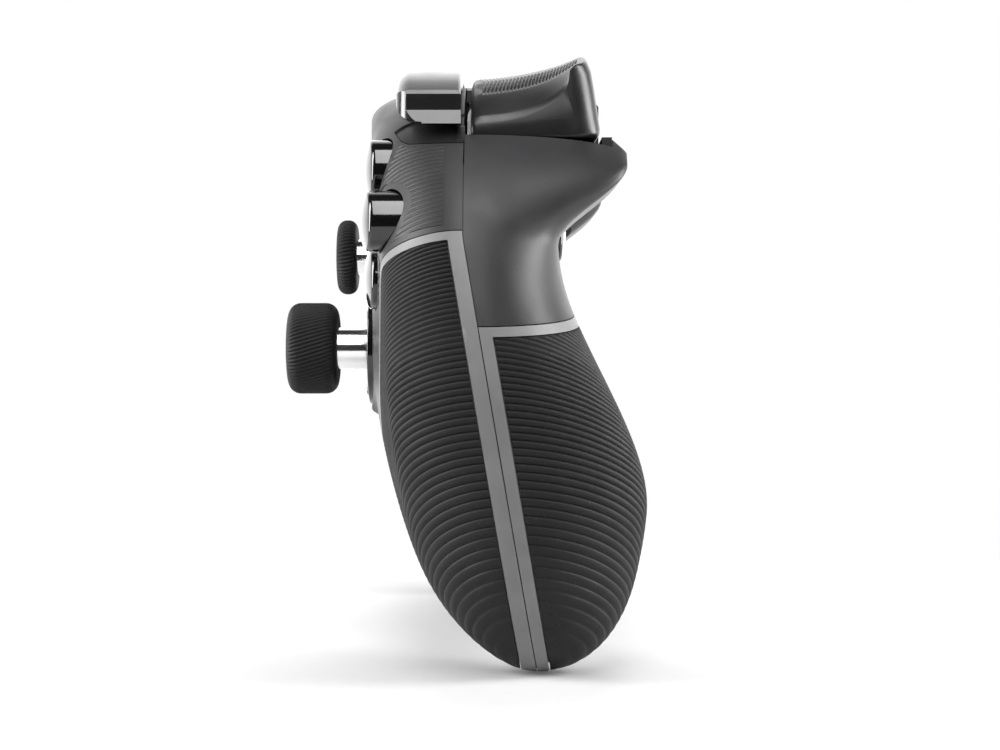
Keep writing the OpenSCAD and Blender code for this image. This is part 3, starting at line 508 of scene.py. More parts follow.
class ShaderKit:
    """The effects that several finishes share, each built once as a node group."""

    def __init__(self) -> None:
        """Starts with no groups built."""
        self._groups: dict[str, Tree] = {}

    def group(self, name: str) -> Tree:
        """A group by name, built the first time it is asked for."""
        if name not in self._groups:
            inputs, outputs, lay = {
                "mould_grain": (["Scale", "Pebble"], ["Height", "Drift"], self._mould_grain),
                "brushed_grain": (["Scale", "Length"], ["Height", "Drift"], self._brushed_grain),
                "handling_marks": (["Scale"], ["Smudge", "Dust"], self._handling_marks),
                "edge_wear": (["Amount"], ["Mask"], self._edge_wear),
                "board_traces": (["Scale"], ["Mask"], self._board_traces),
            }[name]
            self._groups[name] = self._built(name, inputs, outputs, lay)
        return self._groups[name]

    @staticmethod
    def _built(name: str, inputs: list[str], outputs: list[str], lay: Lay) -> Tree:
        """Builds a group with plain float sockets.

        Args:
            name: the group's name.
            inputs: names of its inputs.
            outputs: names of its outputs.
            lay: lays the nodes between them, from the place on the object and the inputs.

        Returns:
            The group.
        """
        tree = bpy.data.node_groups.new(name, "ShaderNodeTree")
        for word in inputs:
            tree.interface.new_socket(word, in_out="INPUT", socket_type="NodeSocketFloat")
        for word in outputs:
            tree.interface.new_socket(word, in_out="OUTPUT", socket_type="NodeSocketFloat")
        nodes = Nodes(tree)
        entry = tree.nodes.new("NodeGroupInput")
        place = nodes.add("TexCoord").outputs["Object"]
        laid = lay(nodes, place, {word: entry.outputs[word] for word in inputs})
        leave = tree.nodes.new("NodeGroupOutput")
        for word in outputs:
            tree.links.new(laid[word], leave.inputs[word])
        return tree

    @staticmethod
    def _mould_grain(nodes: Nodes, place: Socket, entry: Sockets) -> Sockets:
        """Fine spark-etched grain: a height, and a slow drift of tone."""
        noise = nodes.add("TexNoise", {"Vector": place, "Scale": entry["Scale"], "Detail": 3.0})
        cells = nodes.add("TexVoronoi", {"Vector": place, "Scale": entry["Scale"]}, feature="SMOOTH_F1")
        pebbles = nodes.maths("MULTIPLY", cells.outputs["Distance"], entry["Pebble"])
        height = nodes.maths("ADD", noise.outputs["Fac"], pebbles)
        slow = nodes.add("TexNoise", {"Vector": place, "Scale": 55.0, "Detail": 4.0, "Roughness": 0.6})
        return {"Height": height, "Drift": nodes.ramp(slow.outputs["Fac"], 0.32, 0.7)}

    @staticmethod
    def _brushed_grain(nodes: Nodes, place: Socket, entry: Sockets) -> Sockets:
        """Long fine lines along X: a height, and a drift of tone."""
        spread = nodes.add("CombineXYZ", {0: nodes.maths("DIVIDE", 1.0, entry["Length"]), 1: 1.0, 2: 1.0})
        drawn = nodes.add("VectorMath", {0: place, 1: spread.outputs[0]}, operation="MULTIPLY").outputs[0]
        lines = nodes.add("TexNoise", {"Vector": drawn, "Scale": entry["Scale"], "Detail": 2.0})
        slow = nodes.add("TexNoise", {"Vector": place, "Scale": 160.0, "Detail": 3.0})
        return {"Height": lines.outputs["Fac"], "Drift": nodes.ramp(slow.outputs["Fac"], 0.3, 0.7)}

    @staticmethod
    def _handling_marks(nodes: Nodes, place: Socket, entry: Sockets) -> Sockets:
        """Smudges from fingers and a light dust."""
        blots = nodes.add("TexNoise", {"Vector": place, "Scale": entry["Scale"], "Detail": 5.0})
        blots.inputs["Distortion"].default_value = 1.2
        specks = nodes.add("TexNoise", {"Vector": place, "Scale": 2600.0, "Detail": 2.0})
        smudge = nodes.ramp(blots.outputs["Fac"], 0.4, 0.68)
        return {"Smudge": smudge, "Dust": nodes.ramp(specks.outputs["Fac"], 0.66, 0.78)}

    @staticmethod
    def _edge_wear(nodes: Nodes, place: Socket, entry: Sockets) -> Sockets:
        """A broken mask along edges that stand out."""
        sharp = nodes.ramp(nodes.add("NewGeometry").outputs["Pointiness"], 0.53, 0.62)
        broken = nodes.add("TexNoise", {"Vector": place, "Scale": 700.0, "Detail": 4.0})
        worn = nodes.maths("MULTIPLY", sharp, nodes.ramp(broken.outputs["Fac"], 0.35, 0.7))
        return {"Mask": nodes.maths("MULTIPLY", worn, entry["Amount"], clamp=True)}

    @staticmethod
    def _board_traces(nodes: Nodes, place: Socket, entry: Sockets) -> Sockets:
        """Copper runs under a solder mask."""
        runs = nodes.add("TexBrick", {"Vector": place, "Scale": entry["Scale"], "Mortar Size": 0.05})
        pads = nodes.add("TexVoronoi", {"Vector": place, "Scale": entry["Scale"]})
        dots = nodes.ramp(pads.outputs["Distance"], 0.22, 0.18)
        return {"Mask": nodes.maths("MAXIMUM", runs.outputs["Fac"], dots)}


@dataclass(frozen=True)
class Finish:
    """One finish of the object, named for the record's material slot."""

    slot: str
    colour: Colour
    roughness: float
    grain: Grain = Grain.MOULDED
    grain_mm: float = 0.35
    depth_mm: float = 0.012
    pebble: float = 0.6
    drift: float = 0.15
    smudge: float = 0.08
    dust: float = 0.05
    wear: float = 0.0
    metallic: float = 0.0
    coat: float = 0.0
    specular: float = 0.5
    coat_rough: float = 0.06
    brush_length: float = 30.0
    mark_scale: float = 90.0
    trace_scale: float = 260.0
    trace_gain: float = 1.9
    wear_tone: Pair = (2.2, 0.02)
    dust_tone: Colour = (0.35, 0.35, 0.34)

    def _tone(self, gain: float, lift: float = 0.0) -> tuple[float, ...]:
        """The finish's colour made lighter, as a node takes it."""
        return (*[min(1.0, c * gain + lift) for c in self.colour], 1.0)

    def material(self, kit: ShaderKit) -> bpy.types.Material:
        """Builds the finish.

        Args:
            kit: the shared effects.

        Returns:
            A node material with drift, smudges, dust, wear and grain.
        """
        made = bpy.data.materials.new(self.slot)
        made.use_nodes = True
        made.node_tree.nodes.clear()
        nodes = Nodes(made.node_tree)

        def effect(name: str, values: dict[str, float]) -> bpy.types.Node:
            """Lays a shared effect with this finish's own values."""
            return nodes.add("Group", values, node_tree=kit.group(name))

        scale = 1 / (self.grain_mm * MM)
        if self.grain is Grain.BRUSHED:
            grain = effect("brushed_grain", {"Scale": scale, "Length": self.brush_length})
        else:
            grain = effect("mould_grain", {"Scale": scale, "Pebble": self.pebble})
        marks = effect("handling_marks", {"Scale": self.mark_scale})
        lighter = self._tone(1 + 2 * self.drift)
        colour = self._mix(nodes, grain.outputs["Drift"], self._tone(1.0), lighter)
        if self.grain is Grain.BOARD:
            traces = effect("board_traces", {"Scale": self.trace_scale})
            colour = self._mix(nodes, traces.outputs["Mask"], colour, self._tone(self.trace_gain))
        if self.wear:
            worn = effect("edge_wear", {"Amount": self.wear})
            colour = self._mix(nodes, worn.outputs["Mask"], colour, self._tone(*self.wear_tone))
        dusty = nodes.maths("MULTIPLY", marks.outputs["Dust"], self.dust)
        colour = self._mix(nodes, dusty, colour, (*self.dust_tone, 1.0))
        rough = nodes.maths("MULTIPLY_ADD", marks.outputs["Smudge"], self.smudge)
        rough.node.inputs[2].default_value = self.roughness
        bump = nodes.add("Bump", {"Height": grain.outputs["Height"], "Distance": self.depth_mm * MM})
        bump.inputs["Strength"].default_value = 1.0
        shader = nodes.add("BsdfPrincipled", {
            "Base Color": colour,
            "Roughness": rough,
            "Normal": bump.outputs[0],
            "Metallic": self.metallic,
            "Specular IOR Level": self.specular,
            "Coat Weight": self.coat,
            "Coat Roughness": self.coat_rough,
        })
        out = nodes.add("OutputMaterial")
        nodes.tree.links.new(shader.outputs[0], out.inputs["Surface"])
        return made

    @staticmethod
    def _mix(nodes: Nodes, factor: object, a: object, b: object) -> Socket:
        """A mix of two colours by a factor."""
        return nodes.add("Mix", {0: factor, 6: a, 7: b}, data_type="RGBA").outputs[2]


def metal(slot: str, colour: Colour, roughness: float, grain_mm: float, depth_mm: float,
          drift: float = 0.1, smudge: float = 0.1, dust: float = 0.0) -> Finish:
    """A brushed metal finish."""
    return Finish(slot, colour, roughness, Grain.BRUSHED, grain_mm, depth_mm, 0.0, drift, smudge, dust,
                  metallic=1.0)


def rubber(slot: str, colour: Colour, roughness: float, grain_mm: float, specular: float) -> Finish:
    """A dark rubber finish."""
    return Finish(slot, colour, roughness, Grain.RUBBER, grain_mm, 0.02, 0.9, 0.25, 0.1, 0.1,
                  specular=specular)


def gloss(slot: str, colour: Colour, roughness: float, coat: float, *values: float) -> Finish:
    """A polished plastic finish, with the values from grain_mm to dust in order."""
    return Finish(slot, colour, roughness, Grain.POLISHED, *values, coat=coat)


FINISHES = [
    Finish("front_plastic", (0.024, 0.024, 0.025), 0.42, depth_mm=0.014, wear=0.25, specular=0.36),
    Finish("rear_plastic", (0.020, 0.020, 0.021), 0.40, depth_mm=0.014, wear=0.25, specular=0.36),
    Finish("grip_frame", (0.16, 0.16, 0.162), 0.46, depth_mm=0.012, wear=0.3),
    rubber("grip_rubber", (0.009, 0.009, 0.0095), 0.58, 0.22, 0.26),
    rubber("cap_rubber", (0.007, 0.007, 0.007), 0.6, 0.2, 0.35),
    gloss("gloss_black", (0.004, 0.004, 0.0045), 0.09, 0.6, 0.6, 0.001, 0.2, 0.2, 0.06, 0.02),
    gloss("bumper_plastic", (0.008, 0.008, 0.0085), 0.2, 0.3, 0.5, 0.002, 0.3, 0.2, 0.08, 0.03),
    Finish("trigger_plastic", (0.012, 0.012, 0.0125), 0.3, depth_mm=0.006, wear=0.2),
    metal("stem_metal", (0.86, 0.86, 0.86), 0.12, 0.1, 0.0008, drift=0.05, smudge=0.05),
    metal("bare_metal", (0.55, 0.55, 0.56), 0.34, 0.12, 0.004, dust=0.02),
    metal("spring_steel", (0.45, 0.45, 0.46), 0.3, 0.1, 0.003),
    metal("screw_steel", (0.09, 0.09, 0.092), 0.36, 0.12, 0.004),
    metal("weight_metal", (0.6, 0.42, 0.16), 0.32, 0.15, 0.004),
    Finish("inner_plastic", (0.012, 0.012, 0.012), 0.5, depth_mm=0.01),
    Finish("mat_rubber", (0.4, 0.4, 0.4), 0.7, Grain.RUBBER, 0.3, 0.02, 0.8, 0.1, 0.08, 0.05),
    Finish("board", (0.012, 0.07, 0.03), 0.35, Grain.BOARD, 0.4, 0.004, 0.2, 0.2, 0.05, 0.05),
    Finish("battery_wrap", (0.03, 0.045, 0.11), 0.28, Grain.FILM, 0.8, 0.01, 0.3, 0.15, 0.08, 0.03),
]


class Workshop:
    """Makes pieces from forms, cuts them, finishes them and sets them on their bodies."""

    def __init__(self) -> None:
        """Builds every finish."""
        kit = ShaderKit()
        self.looks = {finish.slot: finish.material(kit) for finish in FINISHES}

    @staticmethod
    def mesh(name: str, form: Form) -> bpy.types.Object:
        """A mesh object of a form, in metres."""
        data = bpy.data.meshes.new(name)
        data.from_pydata((form.points * MM).tolist(), [], form.faces)
        made = bpy.data.objects.new(name, data)
        bpy.context.scene.collection.objects.link(made)
        return made

    def cut(self, made: bpy.types.Object, tools: Tools) -> None:
        """Works tool forms on a piece, in order.

        Args:
            made: the piece.
            tools: how each form works, and the form.
        """
        helpers = []
        for k, (how, form) in enumerate(tools):
            tool = self.mesh(f"tool_{k}", form)
            helpers.append(tool)
            step = made.modifiers.new(f"cut_{k}", "BOOLEAN")
            step.operation = how.value
            step.solver = "MANIFOLD"
            step.object = tool
        graph = bpy.context.evaluated_depsgraph_get()
        worked = bpy.data.meshes.new_from_object(made.evaluated_get(graph))
        rough = made.data
        made.modifiers.clear()
        made.data = worked
        worked.name = made.name
        bpy.data.meshes.remove(rough)
        for tool in helpers:
            data = tool.data
            bpy.data.objects.remove(tool)
            bpy.data.meshes.remove(data)

    def piece(
        self,
        name: str,
        form: Form,
        body: str,
        slot: str,
        node: str | None = None,
        tools: Tools | None = None,
        crease: float = 34.0,
    ) -> bpy.types.Object:
        """Makes a finished piece.

        Args:
            name: the piece's name.
            form: its form before cutting.
            body: the body that it rides on.
            slot: its finish.
            node: the solid that it stands for.
            tools: cuts to make.
            crease: angle above which an edge stays sharp, in degrees.

        Returns:
            The piece.
        """
        made = self.mesh(name, form)
        if tools:
            self.cut(made, tools)
        made.data.shade_smooth()
        made.data.set_sharp_from_angle(angle=math.radians(crease))
        made.data.materials.clear()
        made.data.materials.append(self.looks[slot])
        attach(made, body)
        if node:
            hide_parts(node)
        LOG.info("%s: %d faces on %s", name, len(made.data.polygons), body)
        return made

    def dress(self, frame: dict) -> None:
        """Gives the solids that stay in view the finish of their slot."""
        slots = {part["node"]: part["material_slot"] for part in frame["record"]["subparts"]}
        for name, solid in frame["nodes"].items():
            solid.data.materials.clear()
            solid.data.materials.append(self.looks[slots[name]])
            solid.data.shade_smooth()
            solid.data.set_sharp_from_angle(angle=math.radians(30))


@dataclass(frozen=True)
class RidgeField:
    """Ridges over a part of a casing half, on lines where y - slope * x is level."""

    half: Half
    v_top: float
    v_end: float
    pitch: Pair
    depth: float
    from_x: float = 24.0
    slope: float = 0.65
    fade: float = 0.6
    fade_power: int = 4
    groove_power: float = 1.5
    per_ridge: int = 8
    across: int = 56
    samples: int = 600
    halvings: int = 24

    def rows(self) -> tuple[np.ndarray, np.ndarray]:
        """Lines across the ridges, with a pitch that grows downward.

        Returns:
            The lines' places v, and how far each dips between ridges, from 0 to 1.
        """
        run = self.v_top - self.v_end
        grow = self.pitch[1] - self.pitch[0]
        count = run / grow * math.log(self.pitch[1] / self.pitch[0])
        phase = np.linspace(0, count, int(count * self.per_ridge))
        share = (np.exp(phase * grow / run) - 1) * self.pitch[0] / grow
        groove = (1 - np.abs(np.sin(np.pi * phase))) ** self.groove_power
        return self.v_top - share * run, groove * (1 - self.fade * share**self.fade_power)

    def span(self, v: float, inset: float) -> Pair:
        """The stretch of a ridge line that lies inside the outline.

        Args:
            v: place of the line.
            inset: distance inside the outer surface.

        Returns:
            Its inner and outer ends as x.
        """
        side = CASING.half_w - max(inset, 0.0) - CASING.side_flat
        x = np.linspace(self.from_x, side, self.samples)

        def room(x: np.ndarray) -> np.ndarray:
            """How far the line is inside both outlines."""
            y = v + self.slope * x
            return np.minimum(CASING.edge_high(x, inset) - y, y - CASING.edge_low(x, inset))

        inside = np.nonzero(room(x) > 0)[0]
        if len(inside) == 0:
            best = float(x[np.argmax(room(x))])
            return best - 0.01, best + 0.01
        ends = []
        for index, step in ((inside[0], -1), (inside[-1], 1)):
            a = x[index]
            b = x[min(max(index + step, 0), len(x) - 1)]
            for _ in range(self.halvings):
                middle = (a + b) / 2
                a, b = (middle, b) if room(np.array([middle]))[0] > 0 else (a, middle)
            ends.append(float(a))
        return ends[0], ends[1]

    def grid(self, v: np.ndarray, inset: np.ndarray) -> np.ndarray:
        """Points on lines that follow the ridges.

        Args:
            v: place of each line.
            inset: distance of each line inside the outer surface.

        Returns:
            An array of lines by points.
        """
        rows = []
        t = (1 - np.cos(np.linspace(0, math.pi, self.across))) / 2
        for line, i in zip(v, inset):
            low, high = self.span(float(line), float(i))
            x = low + (high - low) * t
            y = line + self.slope * x
            rows.append(np.stack([x, y, CASING.height(self.half, x, y, float(i))], -1))
        return np.array(rows)

    def form(self, proud: float, thick: float) -> Form:
        """A ridged sheet.

        Args:
            proud: how far the ridges stand above the casing's surface.
            thick: how deep the sheet reaches below it.

        Returns:
            The sheet on the right side.
        """
        v, dip = self.rows()
        return slab(self.grid(v, dip * self.depth - proud), self.grid(v, 0 * v + thick))


@dataclass
class Shells:
    """The front and rear shells with their openings, the shoulder's ridges and the lip inside the seam."""

    stations: int = 110
    steps: int = 110
    ring_d: float = 21.8
    ring_gap: float = 0.2
    button_gap: float = 0.35
    cross_gap: float = 0.9
    face_span: Pair = (20.0, 80.0)
    cross_span: Pair = (30.0, 80.0)
    rear_span: Pair = (-10.0, 30.0)
    bay_x: Pair = (33.1, 55.9)
    bay_y: Pair = (30.0, 90.0)
    bay_gap: float = 0.3
    bay_top: float = 60.0
    rim: tuple[float, ...] = (31.5, 59.3, 38.0, 90.0, -20.0, 60.0)
    port: Triple = (5.7, 2.05, 26.55)  # straight run, end radius, height
    port_y: Pair = (40.0, 60.0)
    jack: Pair = (3.1, 33.3)  # radius, height
    jack_y: Pair = (-30.0, -5.0)
    screws: tuple[Pair, ...] = ((35.0, -8.0), (14.0, 41.0))
    screw_sides: int = 48
    boss: Triple = (3.6, 2.1, 2.6)  # radius, floor over the outer surface, height
    screw_seat: Pair = (2.8, 6.0)  # radius, reach outward
    screw_hole: Pair = (1.65, 12.0)  # radius, length
    tab: tuple[float, ...] = (4.3, 8.7, 47.0, 56.0, 36.8, 39.6)
    chamfer: Triple = (34.2, 3.2, 6.0)  # middle as y and z, reach
    chamfer_x: Pair = (31.5, 69.3)
    chamfer_far: float = 20.0
    shield: tuple[float, ...] = (34.5, 54.5, 33.0, 37.4, 6.1, 7.9)
    sill: tuple[float, ...] = (34.0, 33.0, 39.6, 32.5, 34.0)  # inner end, lower and upper y, z from and to
    sill_end: Pair = (57.0, 50.0)
    shoulder_y: float = 36.0
    shoulder_x: Pair = (49.0, 66.0)
    shoulder_line: tuple[Pair, ...] = ((0.0, 42.6), (0.7, 44.0), (3.2, 45.8))  # rise over shoulder_y, z
    shoulder_far: Pair = (70.0, 20.0)  # farthest y, lowest z
    shoulder_drop: float = 0.3
    lip: Triple = (0.5, 1.3, 0.9)  # outer and inner inset, half height
    lip_from: float = 61.0
    lip_end: float = 0.1
    field: RidgeField = RidgeField(Half.FRONT, 6.0, -28.0, (1.15, 1.25), 0.24, 48.0)
    field_band: float = 3.4
    field_edge: float = 1.2
    field_proud: float = 0.12
    field_deep: float = 0.9
    field_box: tuple[float, ...] = (54.0, 90.0, 0.0, 60.0, 0.0, 60.0)
    field_crease: float = 60.0

    def layer(self, half: Half, inset: float = 0.0) -> Form:
        """The wall of a half, drawn in by an inset."""
        shares = np.sin(np.linspace(-math.pi / 2, math.pi / 2, 2 * self.stations + 1))
        return slab(*(CASING.grid(half, i, shares, self.steps, CASING.top_y) for i in (inset, CASING.wall)))

    def shoulder_tool(self, down: float) -> Form:
        """Everything above the line under a bumper's outer end, lowered by down."""
        y, (far, low) = self.shoulder_y - down, self.shoulder_far
        line = [[y, low], *[[y + up, z] for up, z in self.shoulder_line]]
        line += [[far, self.shoulder_line[-1][1]], [far, low]]
        return prism(np.array(line), *self.shoulder_x, "x")

    def face_tools(self, grips: "Grips", sticks: "Sticks", buttons: "Buttons") -> Tools:
        """Openings of the front shell."""
        holes = [(x, y, self.ring_d / 2 + self.ring_gap / 2) for x, y in sticks.places()]
        holes += [(x, y, d / 2 + self.button_gap) for x, y, d in buttons.face_holes()]
        openings = [prism(disc(*hole), *self.face_span) for hole in holes]
        openings.append(prism(buttons.cross_outline(self.cross_gap), *self.cross_span))
        openings.append(prism(disc(0, self.jack[1], self.jack[0]), *self.jack_y, "y"))
        tools = both(Cut.OFF, [grips.plan_tool(Half.FRONT, 0.0)])
        tools += [(Cut.OFF, form) for form in openings]
        return tools + both(Cut.OFF, [box(*self.tab)])

    def rear_tools(self, grips: "Grips", buttons: "Buttons") -> Tools:
        """Bosses and openings of the rear shell."""
        y, z, reach = self.chamfer
        far = y + self.chamfer_far
        corner = [[y - reach, z - reach], [y + reach, z + reach], [far, z + reach], [far, z - reach]]
        x, y, d = buttons.rear
        openings = [
            grips.plan_tool(Half.REAR, 0.0),
            box(*self.bay_x, *self.bay_y, self.bay_floor(), self.bay_top),
            box(*self.rim),
            prism(np.array(corner), *self.chamfer_x, "x"),
            prism(disc(x, y, d / 2 + self.button_gap), *self.rear_span),
        ]
        bosses = []
        seat_r, seat = self.screw_seat
        hole_r, hole = self.screw_hole
        for x, y in self.screws:
            z = CASING.rear_at(x, y)
            floor = z + self.boss[1]
            bosses.append(prism(disc(x, y, self.boss[0], self.screw_sides), floor, floor + self.boss[2]))
            openings.append(prism(disc(x, y, seat_r, self.screw_sides), z - seat, floor))
            openings.append(prism(disc(x, y, hole_r, self.screw_sides), z, z + hole))
        run, r, z = self.port[0] / 2, self.port[1], self.port[2]
        slot = arc((run, z), r, -90, 90, 20) + arc((-run, z), r, 90, 270, 20)
        inlet = prism(np.array(slot), *self.port_y, "y")
        return both(Cut.ADD, bosses) + both(Cut.OFF, openings) + [(Cut.OFF, inlet)]

    def seam_lip(self) -> Form:
        """A thin lip inside the parting line, from the shoulder round the grip to the middle."""
        outer, inner, rise = self.lip
        limit = CASING.half_w - inner - self.lip_end
        upper = np.linspace(self.lip_from, limit, 60)
        lower = limit * np.sin(np.linspace(math.pi / 2, 0.0, 140))
        rings = []
        for x in np.concatenate([upper, lower[1:]]):
            edge = CASING.edge_high if len(rings) < len(upper) else CASING.edge_low
            pair = [(x * (CASING.half_w - i) / (CASING.half_w - inner), i) for i in (outer, inner)]
            points = [(px, float(edge(np.array(px), i))) for px, i in pair]
            ring = []
            for (px, py), ends in zip(points, ((-rise, rise), (rise, -rise))):
                level = float(CASING.parting(np.array(py))) - CASING.seam_gap / 2
                ring += [(px, py, level + e) for e in ends]
            rings.append(ring)
        return sweep(np.array(rings))

    def bay_sill(self) -> Form:
        """The wall in front of a trigger's room, under the gap beside the bumper."""
        x0, low, top, z0, z1 = self.sill
        edge = []
        for x in np.linspace(*self.sill_end, 30):
            edge.append([x, min(top, float(CASING.edge_high(np.array(x), 0)) - self.shoulder_drop)])
        return prism(np.array([[x0, low], [self.sill_end[0], low], *edge, [x0, top]]), z0, z1)

    def bay_floor(self) -> float:
        """Lowest level of the room behind a trigger."""
        return CASING.rear_z - CASING.lip_drop + CASING.wall + self.bay_gap

    def field_tools(self, grips: "Grips", buttons: "Buttons") -> Tools:
        """Trims the shoulder's ridges to the border, the rim and the buttons."""
        tools = [
            (Cut.KEEP, grips.side_tool(Half.FRONT, self.field_band)),
            (Cut.OFF, grips.plan_tool(Half.FRONT, -self.field_edge)),
            (Cut.OFF, self.shoulder_tool(self.field_edge / 2)),
            (Cut.KEEP, box(*self.field_box)),
        ]
        for x, y, d in buttons.face_holes():
            outline = disc(x, y, d / 2 + self.button_gap + self.field_edge)
            tools.append((Cut.OFF, prism(outline, *self.face_span)))
        return tools

    def build(self, shop: Workshop, grips: "Grips", sticks: "Sticks", buttons: "Buttons") -> None:
        """Makes both shells, the shoulders, the seam's lip and the walls round the triggers.

        Args:
            shop: makes the pieces.
            grips: gives the plan of the grips.
            sticks: gives the places of the sticks.
            buttons: gives the places of the buttons.
        """
        openings = self.face_tools(grips, sticks, buttons)
        above = both(Cut.OFF, [self.shoulder_tool(0.0)])
        shop.piece("front_shell_skin", self.layer(Half.FRONT), "housing", "front_plastic", "front_shell",
                   openings + above)
        shop.piece("rear_shell_skin", self.layer(Half.REAR), "housing", "rear_plastic", "rear_shell",
                   self.rear_tools(grips, buttons))
        rim = self.layer(Half.FRONT, self.shoulder_drop)
        ridged = self.field.form(self.field_proud, self.field_deep)
        trim = self.field_tools(grips, buttons)
        for side in Side:
            word = side.word
            # The rim under each bumper is a real recessed strip of the front shell, but it takes the darker
            # trigger finish instead of the shell's own: painted shade for the shadow under the bumper's
            # overhang.
            shop.piece(f"shoulder_rim_{word}", rim, "housing", "trigger_plastic", None,
                       [(Cut.KEEP, self.shoulder_tool(-CASING.seam_gap).on(side))] + openings)
            shop.piece(f"shoulder_ridges_{word}", ridged.on(side), "housing", "front_plastic", None,
                       sided(trim, side), self.field_crease)
            shop.piece(f"seam_lip_{word}", self.seam_lip().on(side), "housing", "inner_plastic")
            shop.piece(f"trigger_sill_{word}", self.bay_sill().on(side), "housing", "trigger_plastic")
            shop.piece(f"trigger_shield_{word}", box(*self.shield).on(side), "housing", "inner_plastic")


@dataclass(frozen=True)
class GripPlan:
    """A grip on one half of the casing: corners clockwise from the upper outer one, and sizes."""

    corners: tuple[Pair, ...]
    band: float
    end_y: float
    v_top: float


GRIP_PLANS = {
    Half.FRONT: GripPlan(
        corners=((110, 37.5), (110, -90), (31, -90), (31, -40), (36, -24), (46, -16), (56, -3), (57.5, 14)),
        band=2.6,
        end_y=26.0,
        v_top=-20.0,
    ),
    Half.REAR: GripPlan(
        corners=((110, -0.7), (110, -90), (33, -90), (33, -26), (36, -14), (44, 0), (56, 5.8)),
        band=2.3,
        end_y=12.0,
        v_top=-27.0,
    ),
}


@dataclass
class Grips:
    """Grip frames with their ridged rubber."""

    corner_r: float = 7.0
    plan_z: Pair = (-20.0, 90.0)
    pad_t: float = 1.2
    pocket_rise: float = 2.0
    top_band: float = 1.8
    from_x: float = 26.0
    stations: int = 80
    steps: int = 90
    pitch: Pair = (0.8, 1.7)
    ridge: float = 0.42
    v_end: float = -96.9
    reach: float = 120.0
    crease: float = 60.0

    def plan_tool(self, half: Half, inset: float) -> Form:
        """A prism over a grip's plan, drawn in by inset."""
        return prism(soft_outline(GRIP_PLANS[half].corners, self.corner_r, inset), *self.plan_z)

    def side_tool(self, half: Half, band: float) -> Form:
        """Everything beyond the border along the parting line."""
        up = 1 if half is Half.FRONT else -1
        reach, bend = self.reach, CASING.seam_bend_y
        level, far = CASING.seam_z + up * band, up * reach
        fall = CASING.seam_slope * (bend + reach)
        line = [[-reach, level - fall], [bend, level], [reach, level], [reach, far], [-reach, far]]
        return prism(np.array(line), 0, reach, "x")

    def bed(self, half: Half, gap: float) -> Tools:
        """Keeps what lies inside a grip's smooth border, drawn in by gap."""
        border = self.side_tool(half, GRIP_PLANS[half].band + gap)
        return [(Cut.KEEP, self.plan_tool(half, self.top_band + gap)), (Cut.KEEP, border)]

    def layer(self, half: Half, outer: float, inner: float) -> Form:
        """A fine layer over one grip, between two insets."""
        first = math.asin(self.from_x / CASING.half_w)
        shares = np.sin(np.linspace(first, math.pi / 2, self.stations))
        end_y = GRIP_PLANS[half].end_y
        return slab(*(CASING.grid(half, i, shares, self.steps, end_y) for i in (outer, inner)))

    def build(self, shop: Workshop) -> None:
        """Makes the frames and the rubber of both grips."""
        gap = CASING.seam_gap
        for half in Half:
            pocket = self.layer(half, -self.pocket_rise, self.pad_t + gap)
            frame = self.layer(half, 0.0, CASING.wall)
            lines = RidgeField(half, GRIP_PLANS[half].v_top, self.v_end, self.pitch, self.ridge)
            rubber_pad = lines.form(0.0, self.pad_t)
            for side in Side:
                hollow = shop.mesh("pocket", pocket.on(side))
                shop.cut(hollow, sided(self.bed(half, 0.0), side))
                tools = [(Cut.KEEP, self.plan_tool(half, gap).on(side)), (Cut.OFF, self.form_of(hollow))]
                bpy.data.objects.remove(hollow)
                node = f"{half.value}_grip_{side.word}"
                shop.piece(node + "_frame", frame.on(side), "housing", "grip_frame", node, tools)
                node = f"{half.value}_rubber_{side.word}"
                shop.piece(node + "_ridged", rubber_pad.on(side), "housing", "grip_rubber", node,
                           sided(self.bed(half, gap), side), self.crease)

    @staticmethod
    def form_of(made: bpy.types.Object) -> Form:
        """The form of a piece that was cut already."""
        points = np.zeros(len(made.data.vertices) * 3)
        made.data.vertices.foreach_get("co", points)
        return Form(points.reshape(-1, 3) / MM, [tuple(p.vertices) for p in made.data.polygons])


@dataclass(frozen=True)
class StickCap:
    """A stick's cap: its place, diameter, height and underside, and the ribs round its side."""

    place: Pair
    d: float
    h: float
    z: float
    ribs: int
    lean: float
    depth: float


